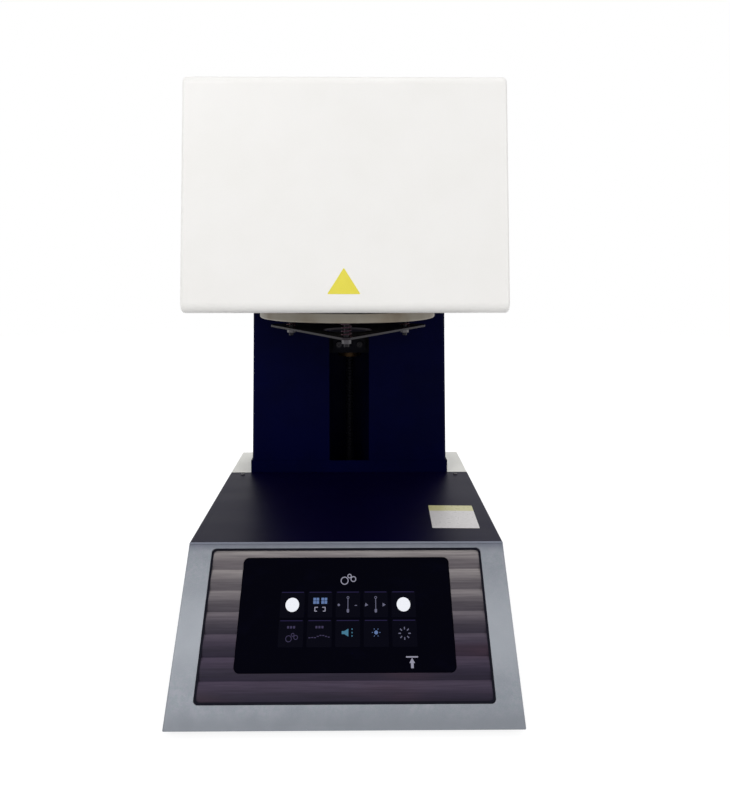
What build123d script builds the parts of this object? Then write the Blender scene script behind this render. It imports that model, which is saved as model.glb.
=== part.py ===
from build123d import *
import os
from math import cos, hypot, pi, radians, sin

# Bottom-loading dental lab furnace, in millimetres. +Z is up, the control panel faces -Y, and the
# origin lies on the floor under the middle of the machine. A sloped base carries a lift column,
# the column carries the firing head, and a sprung table closes the head from below.

os.makedirs("parts", exist_ok=True)

# ---------------------------------------------------------------- driving sizes: the whole machine
width = 360.0            # across the base
depth = 514.0
foot_height = 8.0
base_height = 140.0      # underside of the base pan to the deck
slope_run = 127.0        # how far the control panel leans back
column_depth = 114.0     # the column's front to the back edge
head_gap = 266.0         # deck to the underside of the head
head_height = 250.0
head_depth = 432.0
head_width = 353.0       # across the foot of the head
head_taper = 13.0        # the head is this much narrower at its top
rear_recess = 6.0        # the rear panels stand this far inside the back edge

sheet = 1.5              # folded steel covers
frame_sheet = 3.0        # load-bearing steel
seam = 0.3               # gap between neighbouring covers
slip = 0.05              # radial clearance of a fit that turns, slides or is bonded
fold_radius = 2.0        # outside radius of a folded edge
vent_pitch = 10.0        # middle to middle of the slots of a vent
vent_slot = 4.0          # width of a vent's slot
screw_hole = 1.5         # radius of the cover screws' shanks
screw_head = 1.8         # height of the rear screws' heads
panel_screw_inset = 14.0 # rear panels' edges to their screws

# Control panel, measured in the plane of the slope
bezel_reach = 19.0       # front to back, along the floor
bezel_face = 7.0
bezel_rim = 7.0
recess_width = 306.0
recess_length = 159.0
recess_rise = 22.8       # lower edge of the slope to the recess
recess_depth = 5.0
recess_ledge = 6.0
recess_radius = 5.0
rib_count = 7
rib_valley = 2.6         # valleys of the ribs under the bezel's face
rib_crest = 0.4
glass_width = 231.0
glass_length = 119.0
glass_rise = 52.1        # lower edge of the slope to the glass
glass_sink = 1.0         # the glass lies this far under the bezel's face
glass_thick = 2.0
glass_radius = 6.0
glass_ledge = 5.0
display_width = 165.0
display_length = 100.0
display_thick = 5.5
board_width = 190.0
board_length = 112.0
board_thick = 1.6
standoff_length = 10.0
standoff_inset = 8.0
standoff_radius = 3.2
chip_side = 30.0
chip_height = 6.0
plug_block = (18.0, 14.0) # connectors on the board
plug_block_pitch = 22.0
can_cap_radius = 6.0     # capacitors on the board
can_cap_height = 14.0
can_cap_pitch = 18.0

# Base
pan_wall = 24.0
foot_radius = 14.0
foot_inset_x = 42.0
foot_inset_y = 42.0
deck_screw_inset = 20.0  # from the deck's side edge
deck_screw_setback = 12.0
fan_size = 80.0
fan_thick = 25.0
fan_rim = 3.0            # thinnest wall of a fan's frame
fan_screw_pitch = 71.5
base_fan_inset = 49.0    # base's side to the fan's middle
base_fan_z = 78.0
head_fan_drop = 92.0     # head's top to the fan's middle
head_fan_inset = 100.0
inlet_inset = 40.0       # base's side to the power inlet's middle
inlet_pitch = 39.0       # power inlet's middle to the switch's
inlet_z = 62.0
inlet_flange = 2.0
inlet_size = (48.0, 28.0)
inlet_opening = (32.0, 23.0)
socket_size = (27.0, 17.0)
socket_depth = 17.0
socket_floor = 4.0       # blades stop this far inside the socket's mouth
blade_size = (2.0, 4.0)
blade_offset = (7.0, 2.0)
switch_size = (21.0, 30.0)
switch_opening = (17.0, 26.0)
switch_mouth = (13.0, 22.0)
switch_length = 18.0
rocker_pin = 1.5
rocker_tilt = 8.0
rocker_depth = 10.0      # room in the switch for the rocker

# Power parts on the pan
core_size = (110.0, 66.0, 92.0)
core_leg = 22.0
core_share = -0.2556     # middle of the core, as a share of the width from the machine's middle
core_y = 40.0
coil_wall = 18.7
supply_size = (98.0, 160.0, 38.0)
supply_share = 0.3
supply_y = 20.0
supply_hole = 3.5
supply_hole_pitch = 12.0
sink_size = (50.0, 100.0, 34.0)
sink_y = 30.0
sink_base = 7.0
fin_pitch = 6.0
fin_gap = 3.5
relay_size = (45.0, 58.0, 23.0)
relay_screw_pitch = 48.0
relay_terminal = (14.0, 12.0, 7.0)
relay_terminal_pitch = (26.0, 44.0)

# Column
column_width = 295.0     # at the deck
column_top_width = 287.0
column_sink = 20.0       # the column reaches this far below the deck
column_radius = 5.0
slot_width = 60.0
slot_margin = 2.0        # slot's foot above the deck
slot_head_gap = 10.0     # slot's top under the head
column_screw_x = 118.0
column_screw_end = 30.0  # column's ends to its screws
collar_height = 18.0
collar_sheet = 1.2

# Lift
lift_travel = 200.0
screw_lead = 10.0
screw_radius = 6.0
screw_pitch = 5.0
screw_groove = 1.0
journal_radius = 4.0
rod_radius = 6.0
rod_inset = 20.0         # blocks' ends to the rods
drive_setback = 62.0     # column's front to the screw and rods
frame_depth = 38.0       # column frame's flanges
frame_clear = 4.0        # column frame to the rear panel
motor_size = 56.4
motor_length = 51.5
motor_radius = 5.0       # corners of the motor
motor_pilot = 19.0       # radius of the collar that centres the motor
motor_pilot_height = 2.0
shaft_depth = 15.0       # shaft inside the motor
shaft_gap = 8.0          # motor to coupling
block_gap = 2.0          # coupling to the lower block
block_height = 18.0
block_inset = 100.0      # base's side to the blocks' ends
block_reach = 22.0       # screw's axis to the blocks' fronts
carriage_gap = 5.0       # carriage's ends inside the blocks' ends
carriage_depth = 34.0
carriage_height = 64.0
carriage_rise = 10.0     # carriage's top above the carrier's underside
bush_radius = 10.5
bush_length = 28.0
bush_inset = 2.0
bearing_radius = 11.0
bearing_width = 7.0
nut_radius = 11.0
nut_flange_radius = 18.0
nut_flange = 6.0
nut_length = 36.0
nut_screw = 1.7
coupling_radius = 9.5
coupling_length = 22.0
coupling_groove = 1.5
arm_width = 50.0
arm_thick = 8.0
arm_reach = 36.0         # muffle's axis to the arm's front end
arm_foot = 6.0           # the arm's foot above the carriage's
arm_bolt_radius = 2.5
arm_bolt_x = 16.0
arm_bolt_levels = (14.0, 36.0)  # above the carriage's foot
arm_bolt_depth = 4.0     # bolt holes in the carriage
gusset_run = 40.0
gusset_drop = 34.0
gusset_half = 4.0
plate_screw_radius = 2.0
plate_screw_x = 15.0

# Table, its carrier and the muffle
table_radius = 111.0
table_thick = 12.0
table_edge_low = 2.0     # radius of the table's lower edge
table_edge_high = 1.0
table_drop = 15.0        # table's underside below the head's
table_setback = 158.0    # head's front to the muffle's axis
carrier_gap = 17.5       # carrier's top to the table's underside
carrier_thick = 2.5
carrier_nose = 104.0     # muffle's axis to the carrier's front corner
carrier_half = 106.0     # widest half width
carrier_back = 84.0      # muffle's axis to the carrier's rear corners
carrier_end = 17.0       # length of the carrier's side ends
carrier_tail = 40.0      # the carrier's tail behind its corners
carrier_corner = 6.0
carrier_window = 31.0    # radius of the hole in the carrier's middle
post_circle = 88.0
post_angles = (270, 30, 150)  # degrees round the table from +X
post_radius = 3.0
post_seat = 5.0          # posts' depth in the table
post_nut = 5.0
post_nut_radius = 5.5
post_tail = 4.0          # post below its nut
spring_radius = 5.6      # axis to the middle of the wire
spring_wire = 1.4
spring_turns = 4
plug_radius = 70.0
plug_height = 69.0
plug_chamfer = 4.0
tray_radius = 50.0
tray_height = 40.0
tray_wall = 4.0
tray_seat = 3.0
mouth_gap = 2.5          # plug to the chamber's wall
mouth_step = 2.0         # chamber's wall to the edge of the base plate's mouth
can_radius = 130.0
can_flange = 9.0
can_window = 96.0        # radius of the hole in the can's top
roof_thick = 70.0
head_room = 43.0         # roof's top to the head's top
element_circle = 61.0
element_spacing = 25.0
element_radius = 2.0
terminal_radius = 4.5
element_count = 4
element_rise = 10.0      # plug's top to the elements' bends
holder_height = 12.0
holder_margin = 12.5     # holders' ends past the terminals' axes
holder_width = 22.5
terminal_rise = 24.0     # holders' underside to the terminals' tops
strap_gap = 2.0
strap_thick = 3.0
probe_radius = 3.0
probe_reach = 22.0       # thermocouple's tip under the roof
probe_head_radius = 11.0
probe_head_height = 16.0
lead_radius = 3.0
lead_grommet = 1.5       # room round a lead in the base plate
head_front_top = 9.0     # radius of the front's top edge
head_front_low = 12.0
head_corner = 4.0
head_lip = 14.0          # return of the cover under the base plate
lip = 2.0                # thickness of the head cover

# ---------------------------------------------------------------- places worked out from the sizes
y_front = -depth / 2
y_back = depth / 2
z_base = foot_height
z_deck = z_base + base_height
z_head = z_deck + head_gap
z_top = z_head + head_height
y_slope = y_front + slope_run
y_column = y_back - column_depth
y_head = y_back - head_depth
y_panel = y_back - rear_recess          # outer face of the rear panels
y_panel_in = y_panel - sheet
y_axis = y_head + table_setback         # axis of the table and the muffle
y_drive = y_column + drive_setback      # axis of the lead screw and the guide rods
slope_length = hypot(slope_run, base_height)
slope = Plane(origin=(0, y_front, z_base), x_dir=(1, 0, 0), z_dir=(0, -base_height, slope_run))
up_slope = Axis((0, 0, 0), tuple(slope.y_dir))
out_of_slope = Axis((0, 0, 0), tuple(slope.z_dir))
recess_middle = recess_rise + recess_length / 2
glass_middle = glass_rise + glass_length / 2
inside = width - 2 * sheet
base_fan_x = width / 2 - base_fan_inset
head_fan_x = head_fan_inset - head_width / 2
head_fan_z = z_top - head_fan_drop
inlet_x = inlet_inset - width / 2
switch_x = inlet_x + inlet_pitch
block_width = width - 2 * block_inset
rod_spacing = block_width - 2 * rod_inset
carriage_width = block_width - 2 * carriage_gap
chamber_height = head_height - lip - frame_sheet - roof_thick - head_room


def slope_y(z, setback=0.0):
    """Y of the slope's face at height z, moved back by setback."""
    return y_front + setback + (z - z_base) * slope_run / base_height


def side_outline(setback, y_end, z_low, z_high):
    """Corners in (Y, Z) of a side plate whose front edge follows the slope."""
    return [
        (slope_y(z_low, setback), z_low),
        (y_end, z_low),
        (y_end, z_high),
        (slope_y(z_high, setback), z_high),
    ]


def back_plane(y):
    """Sketch plane in X and Z at depth y. Extruding by a negative amount goes towards the back."""
    return Plane.XZ.offset(-y)


def head_half(z):
    """Half the head's width at height z."""
    return head_width / 2 - head_taper / 2 * (z - z_head) / head_height


def column_half(z):
    """Half the column's width at height z."""
    return column_width / 2 - (column_width - column_top_width) / 2 * (z - z_deck) / head_gap


# ---------------------------------------------------------------- base
pan_top = z_base + sheet
pan_front = slope_y(pan_top, bezel_reach) + seam
pan_length = y_panel_in - pan_front
foot_points = [
    (side * (width / 2 - foot_inset_x), y)
    for side in (-1, 1)
    for y in (y_front + foot_inset_y, y_back - foot_inset_y)
]
foot_screw_radius = 2.0

with BuildPart() as base_pan:
    with BuildSketch(Plane.XY.offset(z_base)):
        with Locations((0, pan_front + pan_length / 2)):
            Rectangle(inside, pan_length)
        with Locations(*foot_points):
            Circle(foot_screw_radius + slip, mode=Mode.SUBTRACT)
        with Locations((-width / 4, y_axis)):
            with GridLocations(vent_pitch, 4 * vent_pitch, 8, 3):
                SlotOverall(3 * vent_pitch, vent_slot, rotation=90, mode=Mode.SUBTRACT)
    extrude(amount=sheet)
    for side in (-1, 1):
        with BuildSketch(Plane.YZ.offset(side * inside / 2)):
            Polygon(*side_outline(bezel_reach + seam, y_panel_in, z_base, z_base + pan_wall), align=None)
        extrude(amount=-side * sheet)
base_pan.part.label = "base_pan"
export_step(base_pan.part, "parts/base_pan.step")

with BuildPart() as feet:
    with BuildSketch(Plane.XY.offset(z_base)):
        with Locations(*foot_points):
            Circle(foot_radius)
    extrude(amount=-foot_height, taper=6)
    with Locations(*[(x, y, 0) for x, y in foot_points]):
        with Locations(Plane.XY.rotated((180, 0, 0))):
            CounterBoreHole(foot_screw_radius + slip, 2.2 * foot_screw_radius, foot_height / 2, foot_height)
feet.part.label = "feet"
export_step(feet.part, "parts/feet.step")

with BuildPart() as foot_screws:
    with BuildSketch(Plane.XY.offset(foot_height / 2)):
        with Locations(*foot_points):
            Circle(foot_screw_radius)
    extrude(amount=foot_height)
    with BuildSketch(Plane.XY.offset(foot_height / 2)):
        with Locations(*foot_points):
            Circle(1.9 * foot_screw_radius)
    extrude(amount=-foot_screw_radius)
foot_screws.part.label = "foot_screws"
export_step(foot_screws.part, "parts/foot_screws.step")

bezel_top = z_deck - sheet - seam
with BuildPart() as front_bezel:
    with BuildSketch(Plane.YZ.offset(-width / 2)):
        Polygon(
            (slope_y(z_base), z_base),
            (slope_y(z_base, bezel_reach), z_base),
            (slope_y(bezel_top, bezel_reach), bezel_top),
            (slope_y(bezel_top), bezel_top),
            align=None,
        )
    extrude(amount=width)
    face_edges = front_bezel.edges().filter_by(up_slope)
    fillet(face_edges.group_by(out_of_slope)[-1], fold_radius)
    with BuildSketch(slope.offset(-bezel_face)):
        with Locations((0, slope_length / 2)):
            Rectangle(width - 2 * bezel_rim, slope_length - 2 * bezel_rim)
    extrude(amount=-2 * bezel_reach, mode=Mode.SUBTRACT)
    with BuildSketch(slope):
        with Locations((0, recess_middle)):
            RectangleRounded(recess_width, recess_length, recess_radius)
    extrude(amount=-recess_depth, mode=Mode.SUBTRACT)
    with BuildSketch(slope):
        with Locations((0, recess_middle)):
            Rectangle(recess_width - 2 * recess_ledge, recess_length - 2 * recess_ledge)
    extrude(amount=-bezel_face, mode=Mode.SUBTRACT)
front_bezel.part.label = "front_bezel"
export_step(front_bezel.part, "parts/front_bezel.step")

insert_width = recess_width - 2 * seam
insert_length = recess_length - 2 * seam
rib_pitch = recess_length / rib_count
rib_plane = Plane(
    origin=slope.from_local_coords((-recess_width / 2, 0, 0)),
    x_dir=slope.y_dir,
    z_dir=(1, 0, 0),
)
with BuildPart() as rib_panel:
    with BuildSketch(rib_plane):
        with BuildLine():
            Polyline(
                (recess_rise, -rib_valley),
                (recess_rise, -2 * recess_depth),
                (recess_rise + recess_length, -2 * recess_depth),
                (recess_rise + recess_length, -rib_valley),
            )
            for rib in range(rib_count):
                rib_low = recess_rise + rib * rib_pitch
                ThreePointArc(
                    (rib_low, -rib_valley),
                    (rib_low + rib_pitch / 2, -rib_crest),
                    (rib_low + rib_pitch, -rib_valley),
                )
        make_face()
    extrude(amount=recess_width)
    with BuildSketch(slope):
        with Locations((0, recess_middle)):
            RectangleRounded(insert_width, insert_length, recess_radius - seam)
    extrude(amount=-recess_depth, mode=Mode.INTERSECT)
    with BuildSketch(slope):
        with Locations((0, glass_middle)):
            RectangleRounded(glass_width + 2 * seam, glass_length + 2 * seam, glass_radius + seam)
    extrude(amount=-glass_sink - glass_thick, mode=Mode.SUBTRACT)
    with BuildSketch(slope):
        with Locations((0, glass_middle)):
            Rectangle(glass_width - 2 * glass_ledge, glass_length - 2 * glass_ledge)
    extrude(amount=-recess_depth, mode=Mode.SUBTRACT)
rib_panel.part.label = "rib_panel"
export_step(rib_panel.part, "parts/rib_panel.step")

with BuildPart() as touch_glass:
    with BuildSketch(slope.offset(-glass_sink)):
        with Locations((0, glass_middle)):
            RectangleRounded(glass_width, glass_length, glass_radius)
    extrude(amount=-glass_thick)
    chamfer(touch_glass.faces().sort_by(out_of_slope)[-1].edges(), glass_thick / 5)
touch_glass.part.label = "touch_glass"
export_step(touch_glass.part, "parts/touch_glass.step")

display_plane = slope.offset(-glass_sink - glass_thick)
with BuildPart() as display_module:
    with BuildSketch(display_plane):
        with Locations((0, glass_middle)):
            Rectangle(display_width, display_length)
    extrude(amount=-display_thick)
    chamfer(display_module.edges().group_by(out_of_slope)[0], display_thick / 4)
display_module.part.label = "display_module"
export_step(display_module.part, "parts/display_module.step")

display_back = display_plane.offset(-display_thick)
standoff_grid = (display_width - 2 * standoff_inset, display_length - 2 * standoff_inset)
board_plane = display_back.offset(-standoff_length)
with BuildPart() as control_board:
    with BuildSketch(board_plane):
        with Locations((0, glass_middle)):
            Rectangle(board_width, board_length)
    extrude(amount=-board_thick)
    with BuildSketch(board_plane):
        with Locations((0, glass_middle)):
            with GridLocations(*standoff_grid, 2, 2):
                RegularPolygon(standoff_radius, 6)
    extrude(amount=standoff_length)
    with BuildSketch(board_plane.offset(-board_thick)):
        with Locations((-board_width / 5, glass_middle)):
            Rectangle(chip_side, chip_side)
        with Locations((board_width / 4, glass_middle - board_length / 4)):
            with GridLocations(plug_block_pitch, 0, 3, 1):
                Rectangle(*plug_block)
    extrude(amount=-chip_height)
    with BuildSketch(board_plane.offset(-board_thick)):
        with Locations((board_width / 4, glass_middle + board_length / 4)):
            with GridLocations(can_cap_pitch, 0, 3, 1):
                Circle(can_cap_radius)
    extrude(amount=-can_cap_height)
control_board.part.label = "control_board"
export_step(control_board.part, "parts/control_board.step")

deck_end = y_column - seam
deck_screw_radius = 1.5
deck_screw_points = [
    (side * (width / 2 - deck_screw_inset), deck_end - deck_screw_setback) for side in (-1, 1)
]
with BuildPart() as deck_cover:
    with BuildSketch(Plane.YZ.offset(-width / 2)):
        Polygon(*side_outline(0, deck_end, z_deck - sheet, z_deck), align=None)
    extrude(amount=width)
    for side in (-1, 1):
        with BuildSketch(Plane.YZ.offset(side * width / 2)):
            Polygon(*side_outline(bezel_reach + seam, deck_end, z_base, z_deck), align=None)
        extrude(amount=-side * sheet)
    deck_folds = deck_cover.edges().filter_by(Axis.Y)
    deck_folds = deck_folds.filter_by(lambda e: e.center().Z > z_deck - sheet / 2)
    fillet(deck_folds.group_by(Axis.X)[0] + deck_folds.group_by(Axis.X)[-1], fold_radius)
    with BuildSketch(Plane.XY.offset(z_deck)):
        with Locations(*deck_screw_points):
            Circle(deck_screw_radius + slip)
    extrude(amount=-sheet, mode=Mode.SUBTRACT)
deck_cover.part.label = "deck_cover"
export_step(deck_cover.part, "parts/deck_cover.step")

# The light rear housing meets the deck at the column and is notched around it.
notch_half = column_half(z_deck - column_sink) + seam
with BuildPart() as rear_housing:
    with BuildSketch(back_plane(y_column)):
        with Locations((0, z_base)):
            Rectangle(width, base_height, align=(Align.CENTER, Align.MIN))
            Rectangle(inside, base_height - sheet, align=(Align.CENTER, Align.MIN), mode=Mode.SUBTRACT)
    extrude(amount=-(y_back - y_column))
    fillet(rear_housing.edges().filter_by(Axis.Y).group_by(Axis.Z)[-1], fold_radius)
    with BuildSketch(Plane.XY.offset(z_deck)):
        with Locations((0, y_column)):
            Rectangle(2 * notch_half, y_panel + seam - y_column, align=(Align.CENTER, Align.MIN))
    extrude(amount=-2 * sheet, mode=Mode.SUBTRACT)
rear_housing.part.label = "rear_housing"
export_step(rear_housing.part, "parts/rear_housing.step")

base_panel_screws = [
    (side * (inside / 2 - panel_screw_inset / 2), z)
    for side in (-1, 1)
    for z in (z_base + panel_screw_inset, z_deck - panel_screw_inset)
]
fan_hole = fan_size / 2 - fan_rim
panel_top = z_deck - sheet - seam
with BuildPart() as base_rear_panel:
    with BuildSketch(back_plane(y_panel)):
        with Locations((0, z_base)):
            Rectangle(inside - 2 * seam, panel_top - z_base, align=(Align.CENTER, Align.MIN))
        with Locations((0, z_deck - column_sink - seam)):
            Rectangle(2 * notch_half, z_deck, align=(Align.CENTER, Align.MIN), mode=Mode.SUBTRACT)
        with Locations((base_fan_x, base_fan_z)):
            Circle(fan_hole, mode=Mode.SUBTRACT)
            with GridLocations(fan_screw_pitch, fan_screw_pitch, 2, 2):
                Circle(screw_hole + slip, mode=Mode.SUBTRACT)
        with Locations((inlet_x, inlet_z)):
            Rectangle(*inlet_opening, mode=Mode.SUBTRACT)
        with Locations((switch_x, inlet_z)):
            Rectangle(*switch_opening, mode=Mode.SUBTRACT)
        with Locations((0, base_fan_z - vent_pitch)):
            with GridLocations(2 * vent_slot, 0, 10, 1):
                SlotOverall(fan_size / 2, vent_slot, rotation=90, mode=Mode.SUBTRACT)
        with Locations(*base_panel_screws):
            Circle(screw_hole + slip, mode=Mode.SUBTRACT)
    extrude(amount=sheet)
base_rear_panel.part.label = "base_rear_panel"
export_step(base_rear_panel.part, "parts/base_rear_panel.step")

# Power inlet: a flange on the panel, a shell behind it and three blades in its open socket
with BuildPart() as power_inlet:
    with BuildSketch(back_plane(y_panel)):
        with Locations((inlet_x, inlet_z)):
            RectangleRounded(*inlet_size, 2 * inlet_flange)
    extrude(amount=-inlet_flange)
    with BuildSketch(back_plane(y_panel)):
        with Locations((inlet_x, inlet_z)):
            Rectangle(inlet_opening[0] - 2 * seam, inlet_opening[1] - 2 * seam)
    extrude(amount=socket_depth + inlet_flange)
    with BuildSketch(back_plane(y_panel + inlet_flange)):
        with Locations((inlet_x, inlet_z)):
            RectangleRounded(*socket_size, 1.5 * inlet_flange)
    extrude(amount=socket_depth, mode=Mode.SUBTRACT)
    with BuildSketch(back_plane(y_panel + inlet_flange - socket_depth)):
        with Locations((inlet_x, inlet_z + blade_offset[1])):
            Rectangle(*blade_size)
        with Locations((inlet_x, inlet_z - blade_offset[1])):
            with GridLocations(2 * blade_offset[0], 0, 2, 1):
                Rectangle(*blade_size)
    extrude(amount=socket_floor - socket_depth)
power_inlet.part.label = "power_inlet"
export_step(power_inlet.part, "parts/power_inlet.step")

with BuildPart() as switch_body:
    with BuildSketch(back_plane(y_panel)):
        with Locations((switch_x, inlet_z)):
            RectangleRounded(*switch_size, rocker_pin)
    extrude(amount=-inlet_flange)
    with BuildSketch(back_plane(y_panel)):
        with Locations((switch_x, inlet_z)):
            Rectangle(switch_opening[0] - 2 * seam, switch_opening[1] - 2 * seam)
    extrude(amount=switch_length)
    with BuildSketch(back_plane(y_panel + inlet_flange)):
        with Locations((switch_x, inlet_z)):
            Rectangle(*switch_mouth)
    extrude(amount=rocker_depth, mode=Mode.SUBTRACT)
    with BuildSketch(Plane.YZ.offset(switch_x)):
        with Locations((y_panel, inlet_z)):
            Circle(rocker_pin + slip)
    extrude(amount=switch_mouth[0] / 2 + 1, both=True, mode=Mode.SUBTRACT)
switch_body.part.label = "switch_body"
export_step(switch_body.part, "parts/switch_body.step")

rocker_half = switch_mouth[1] / 2 - 2 * seam
rocker_outline = [
    (-rocker_pin, 3 - rocker_half),
    (1.6, 0.8 - rocker_half),
    (3.2, 1.2 - rocker_half),
    (2.2, 0),
    (3.2, rocker_half - 1.2),
    (1.6, rocker_half - 0.8),
    (-rocker_pin, rocker_half - 3),
]
with BuildPart() as switch_rocker:
    with BuildSketch(Plane.YZ.offset(switch_x)):
        with Locations((y_panel, inlet_z)):
            with Locations(Location((0, 0, 0), (0, 0, rocker_tilt))):
                Polygon(*rocker_outline, align=None)
    extrude(amount=switch_mouth[0] / 2 - seam, both=True)
    with BuildSketch(Plane.YZ.offset(switch_x)):
        with Locations((y_panel, inlet_z)):
            Circle(rocker_pin)
    extrude(amount=switch_mouth[0] / 2 + 1 - slip, both=True)
switch_rocker.part.label = "switch_rocker"
export_step(switch_rocker.part, "parts/switch_rocker.step")

core_place = (core_share * width, core_y)
with BuildPart() as transformer_core:
    with BuildSketch(Plane.XZ.offset(-core_place[1])):
        with Locations((core_place[0], pan_top)):
            Rectangle(core_size[0], core_size[2], align=(Align.CENTER, Align.MIN))
        with Locations((core_place[0], pan_top + core_size[2] / 2)):
            with GridLocations(core_size[0] / 2 - core_leg / 4, 0, 2, 1):
                Rectangle(core_leg, core_size[2] - 2 * core_leg, mode=Mode.SUBTRACT)
    extrude(amount=core_size[1] / 2, both=True)
transformer_core.part.label = "transformer_core"
export_step(transformer_core.part, "parts/transformer_core.step")

coil_inner = core_size[0] / 2 - core_leg / 4 - core_leg
with BuildPart() as transformer_coil:
    with BuildSketch(Plane.XY.offset(pan_top + core_leg + seam)):
        with Locations(core_place):
            RectangleRounded(coil_inner + 2 * coil_wall, core_size[1] + 2 * coil_wall, coil_wall / 2)
            Rectangle(coil_inner + 2 * seam, core_size[1] + 2 * seam, mode=Mode.SUBTRACT)
    extrude(amount=core_size[2] - 2 * core_leg - 2 * seam)
transformer_coil.part.label = "transformer_coil"
export_step(transformer_coil.part, "parts/transformer_coil.step")

supply_place = (supply_share * width, supply_y)
with BuildPart() as power_supply:
    with BuildSketch(Plane.XY.offset(pan_top)):
        with Locations(supply_place):
            Rectangle(supply_size[0], supply_size[1])
    extrude(amount=supply_size[2])
    chamfer(power_supply.edges().group_by(Axis.Z)[-1], 1)
    with BuildSketch(Plane.XY.offset(pan_top + supply_size[2])):
        with Locations(supply_place):
            with GridLocations(supply_hole_pitch, supply_hole_pitch, 6, 10):
                Circle(supply_hole)
    extrude(amount=-2, mode=Mode.SUBTRACT)
power_supply.part.label = "power_supply"
export_step(power_supply.part, "parts/power_supply.step")

sink_place = (0.0, sink_y)
with BuildPart() as relay_heat_sink:
    with BuildSketch(back_plane(sink_y + sink_size[1] / 2)):
        with Locations((0, pan_top)):
            Rectangle(sink_size[0], sink_size[2], align=(Align.CENTER, Align.MIN))
            with GridLocations(fin_pitch, 0, 7, 1):
                Rectangle(fin_gap, 2 * (sink_size[2] - sink_base), mode=Mode.SUBTRACT)
    extrude(amount=sink_size[1])
relay_heat_sink.part.label = "relay_heat_sink"
export_step(relay_heat_sink.part, "parts/relay_heat_sink.step")

with BuildPart() as solid_state_relay:
    with BuildSketch(Plane.XY.offset(pan_top + sink_size[2])):
        with Locations(sink_place):
            RectangleRounded(relay_size[0], relay_size[1], 2 * screw_hole)
            with GridLocations(0, relay_screw_pitch, 1, 2):
                Circle(1.5 * screw_hole, mode=Mode.SUBTRACT)
    extrude(amount=relay_size[2])
    with BuildSketch(Plane.XY.offset(pan_top + sink_size[2] + relay_size[2])):
        with Locations(sink_place):
            with GridLocations(*relay_terminal_pitch, 2, 2):
                Rectangle(relay_terminal[0], relay_terminal[1])
    extrude(amount=-relay_terminal[2], mode=Mode.SUBTRACT)
solid_state_relay.part.label = "solid_state_relay"
export_step(solid_state_relay.part, "parts/solid_state_relay.step")

# ---------------------------------------------------------------- column
column_foot = z_deck - column_sink
plate_low = z_head + lip                 # underside of the head's base plate
column_top = plate_low - seam
column_outline = [
    (-column_half(column_foot), column_foot),
    (column_half(column_foot), column_foot),
    (column_half(column_top), column_top),
    (-column_half(column_top), column_top),
]
column_bore = [
    (-column_half(column_foot) + sheet, column_foot),
    (column_half(column_foot) - sheet, column_foot),
    (column_half(column_top) - sheet, column_top),
    (-column_half(column_top) + sheet, column_top),
]
slot_low = z_deck + slot_margin
slot_high = z_head - slot_head_gap
with BuildPart() as column_cover:
    with BuildSketch(back_plane(y_column)):
        Polygon(*column_outline, align=None)
    extrude(amount=-(y_panel - y_column))
    corner_edges = column_cover.faces().sort_by(Axis.Y)[0].edges()
    fillet(corner_edges.filter_by(lambda e: abs(e.center().X) > slot_width), column_radius)
    with BuildSketch(back_plane(y_column + sheet)):
        Polygon(*column_bore, align=None)
    extrude(amount=-depth, mode=Mode.SUBTRACT)
    with BuildSketch(back_plane(y_column)):
        with Locations((0, slot_low)):
            Rectangle(slot_width, slot_high - slot_low, align=(Align.CENTER, Align.MIN))
    extrude(amount=-2 * sheet, mode=Mode.SUBTRACT)
column_cover.part.label = "column_cover"
export_step(column_cover.part, "parts/column_cover.step")

column_screws = [
    (side * column_screw_x, z)
    for side in (-1, 1)
    for z in (z_deck + column_screw_end, z_head - column_screw_end)
]
with BuildPart() as column_rear_cover:
    with BuildSketch(back_plane(y_panel)):
        Polygon(
            (-column_half(column_foot) + sheet + seam, column_foot),
            (column_half(column_foot) - sheet - seam, column_foot),
            (column_half(column_top) - sheet - seam, column_top),
            (-column_half(column_top) + sheet + seam, column_top),
            align=None,
        )
        with Locations(*column_screws):
            Circle(screw_hole + slip, mode=Mode.SUBTRACT)
        with Locations((0, z_deck + head_gap / 2)):
            with GridLocations(vent_pitch, head_gap / 3, 12, 2):
                SlotOverall(6 * vent_pitch, vent_slot, rotation=90, mode=Mode.SUBTRACT)
    extrude(amount=sheet)
column_rear_cover.part.label = "column_rear_cover"
export_step(column_rear_cover.part, "parts/column_rear_cover.step")

# Collar on the deck around the column's foot
collar_out = column_half(z_deck) + seam + collar_sheet
collar_front = y_column - 2 * seam - collar_sheet
with BuildPart() as column_collar:
    with BuildSketch(Plane.XY.offset(z_deck + seam)):
        with Locations((0, collar_front)):
            Rectangle(2 * collar_out, y_back - collar_front, align=(Align.CENTER, Align.MIN))
        with Locations((0, collar_front + collar_sheet)):
            Rectangle(
                2 * (collar_out - collar_sheet), depth, align=(Align.CENTER, Align.MIN), mode=Mode.SUBTRACT
            )
    extrude(amount=collar_height)
    fillet(column_collar.faces().sort_by(Axis.Y)[0].edges().filter_by(Axis.Z), collar_sheet / 2)
column_collar.part.label = "column_collar"
export_step(column_collar.part, "parts/column_collar.step")

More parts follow.
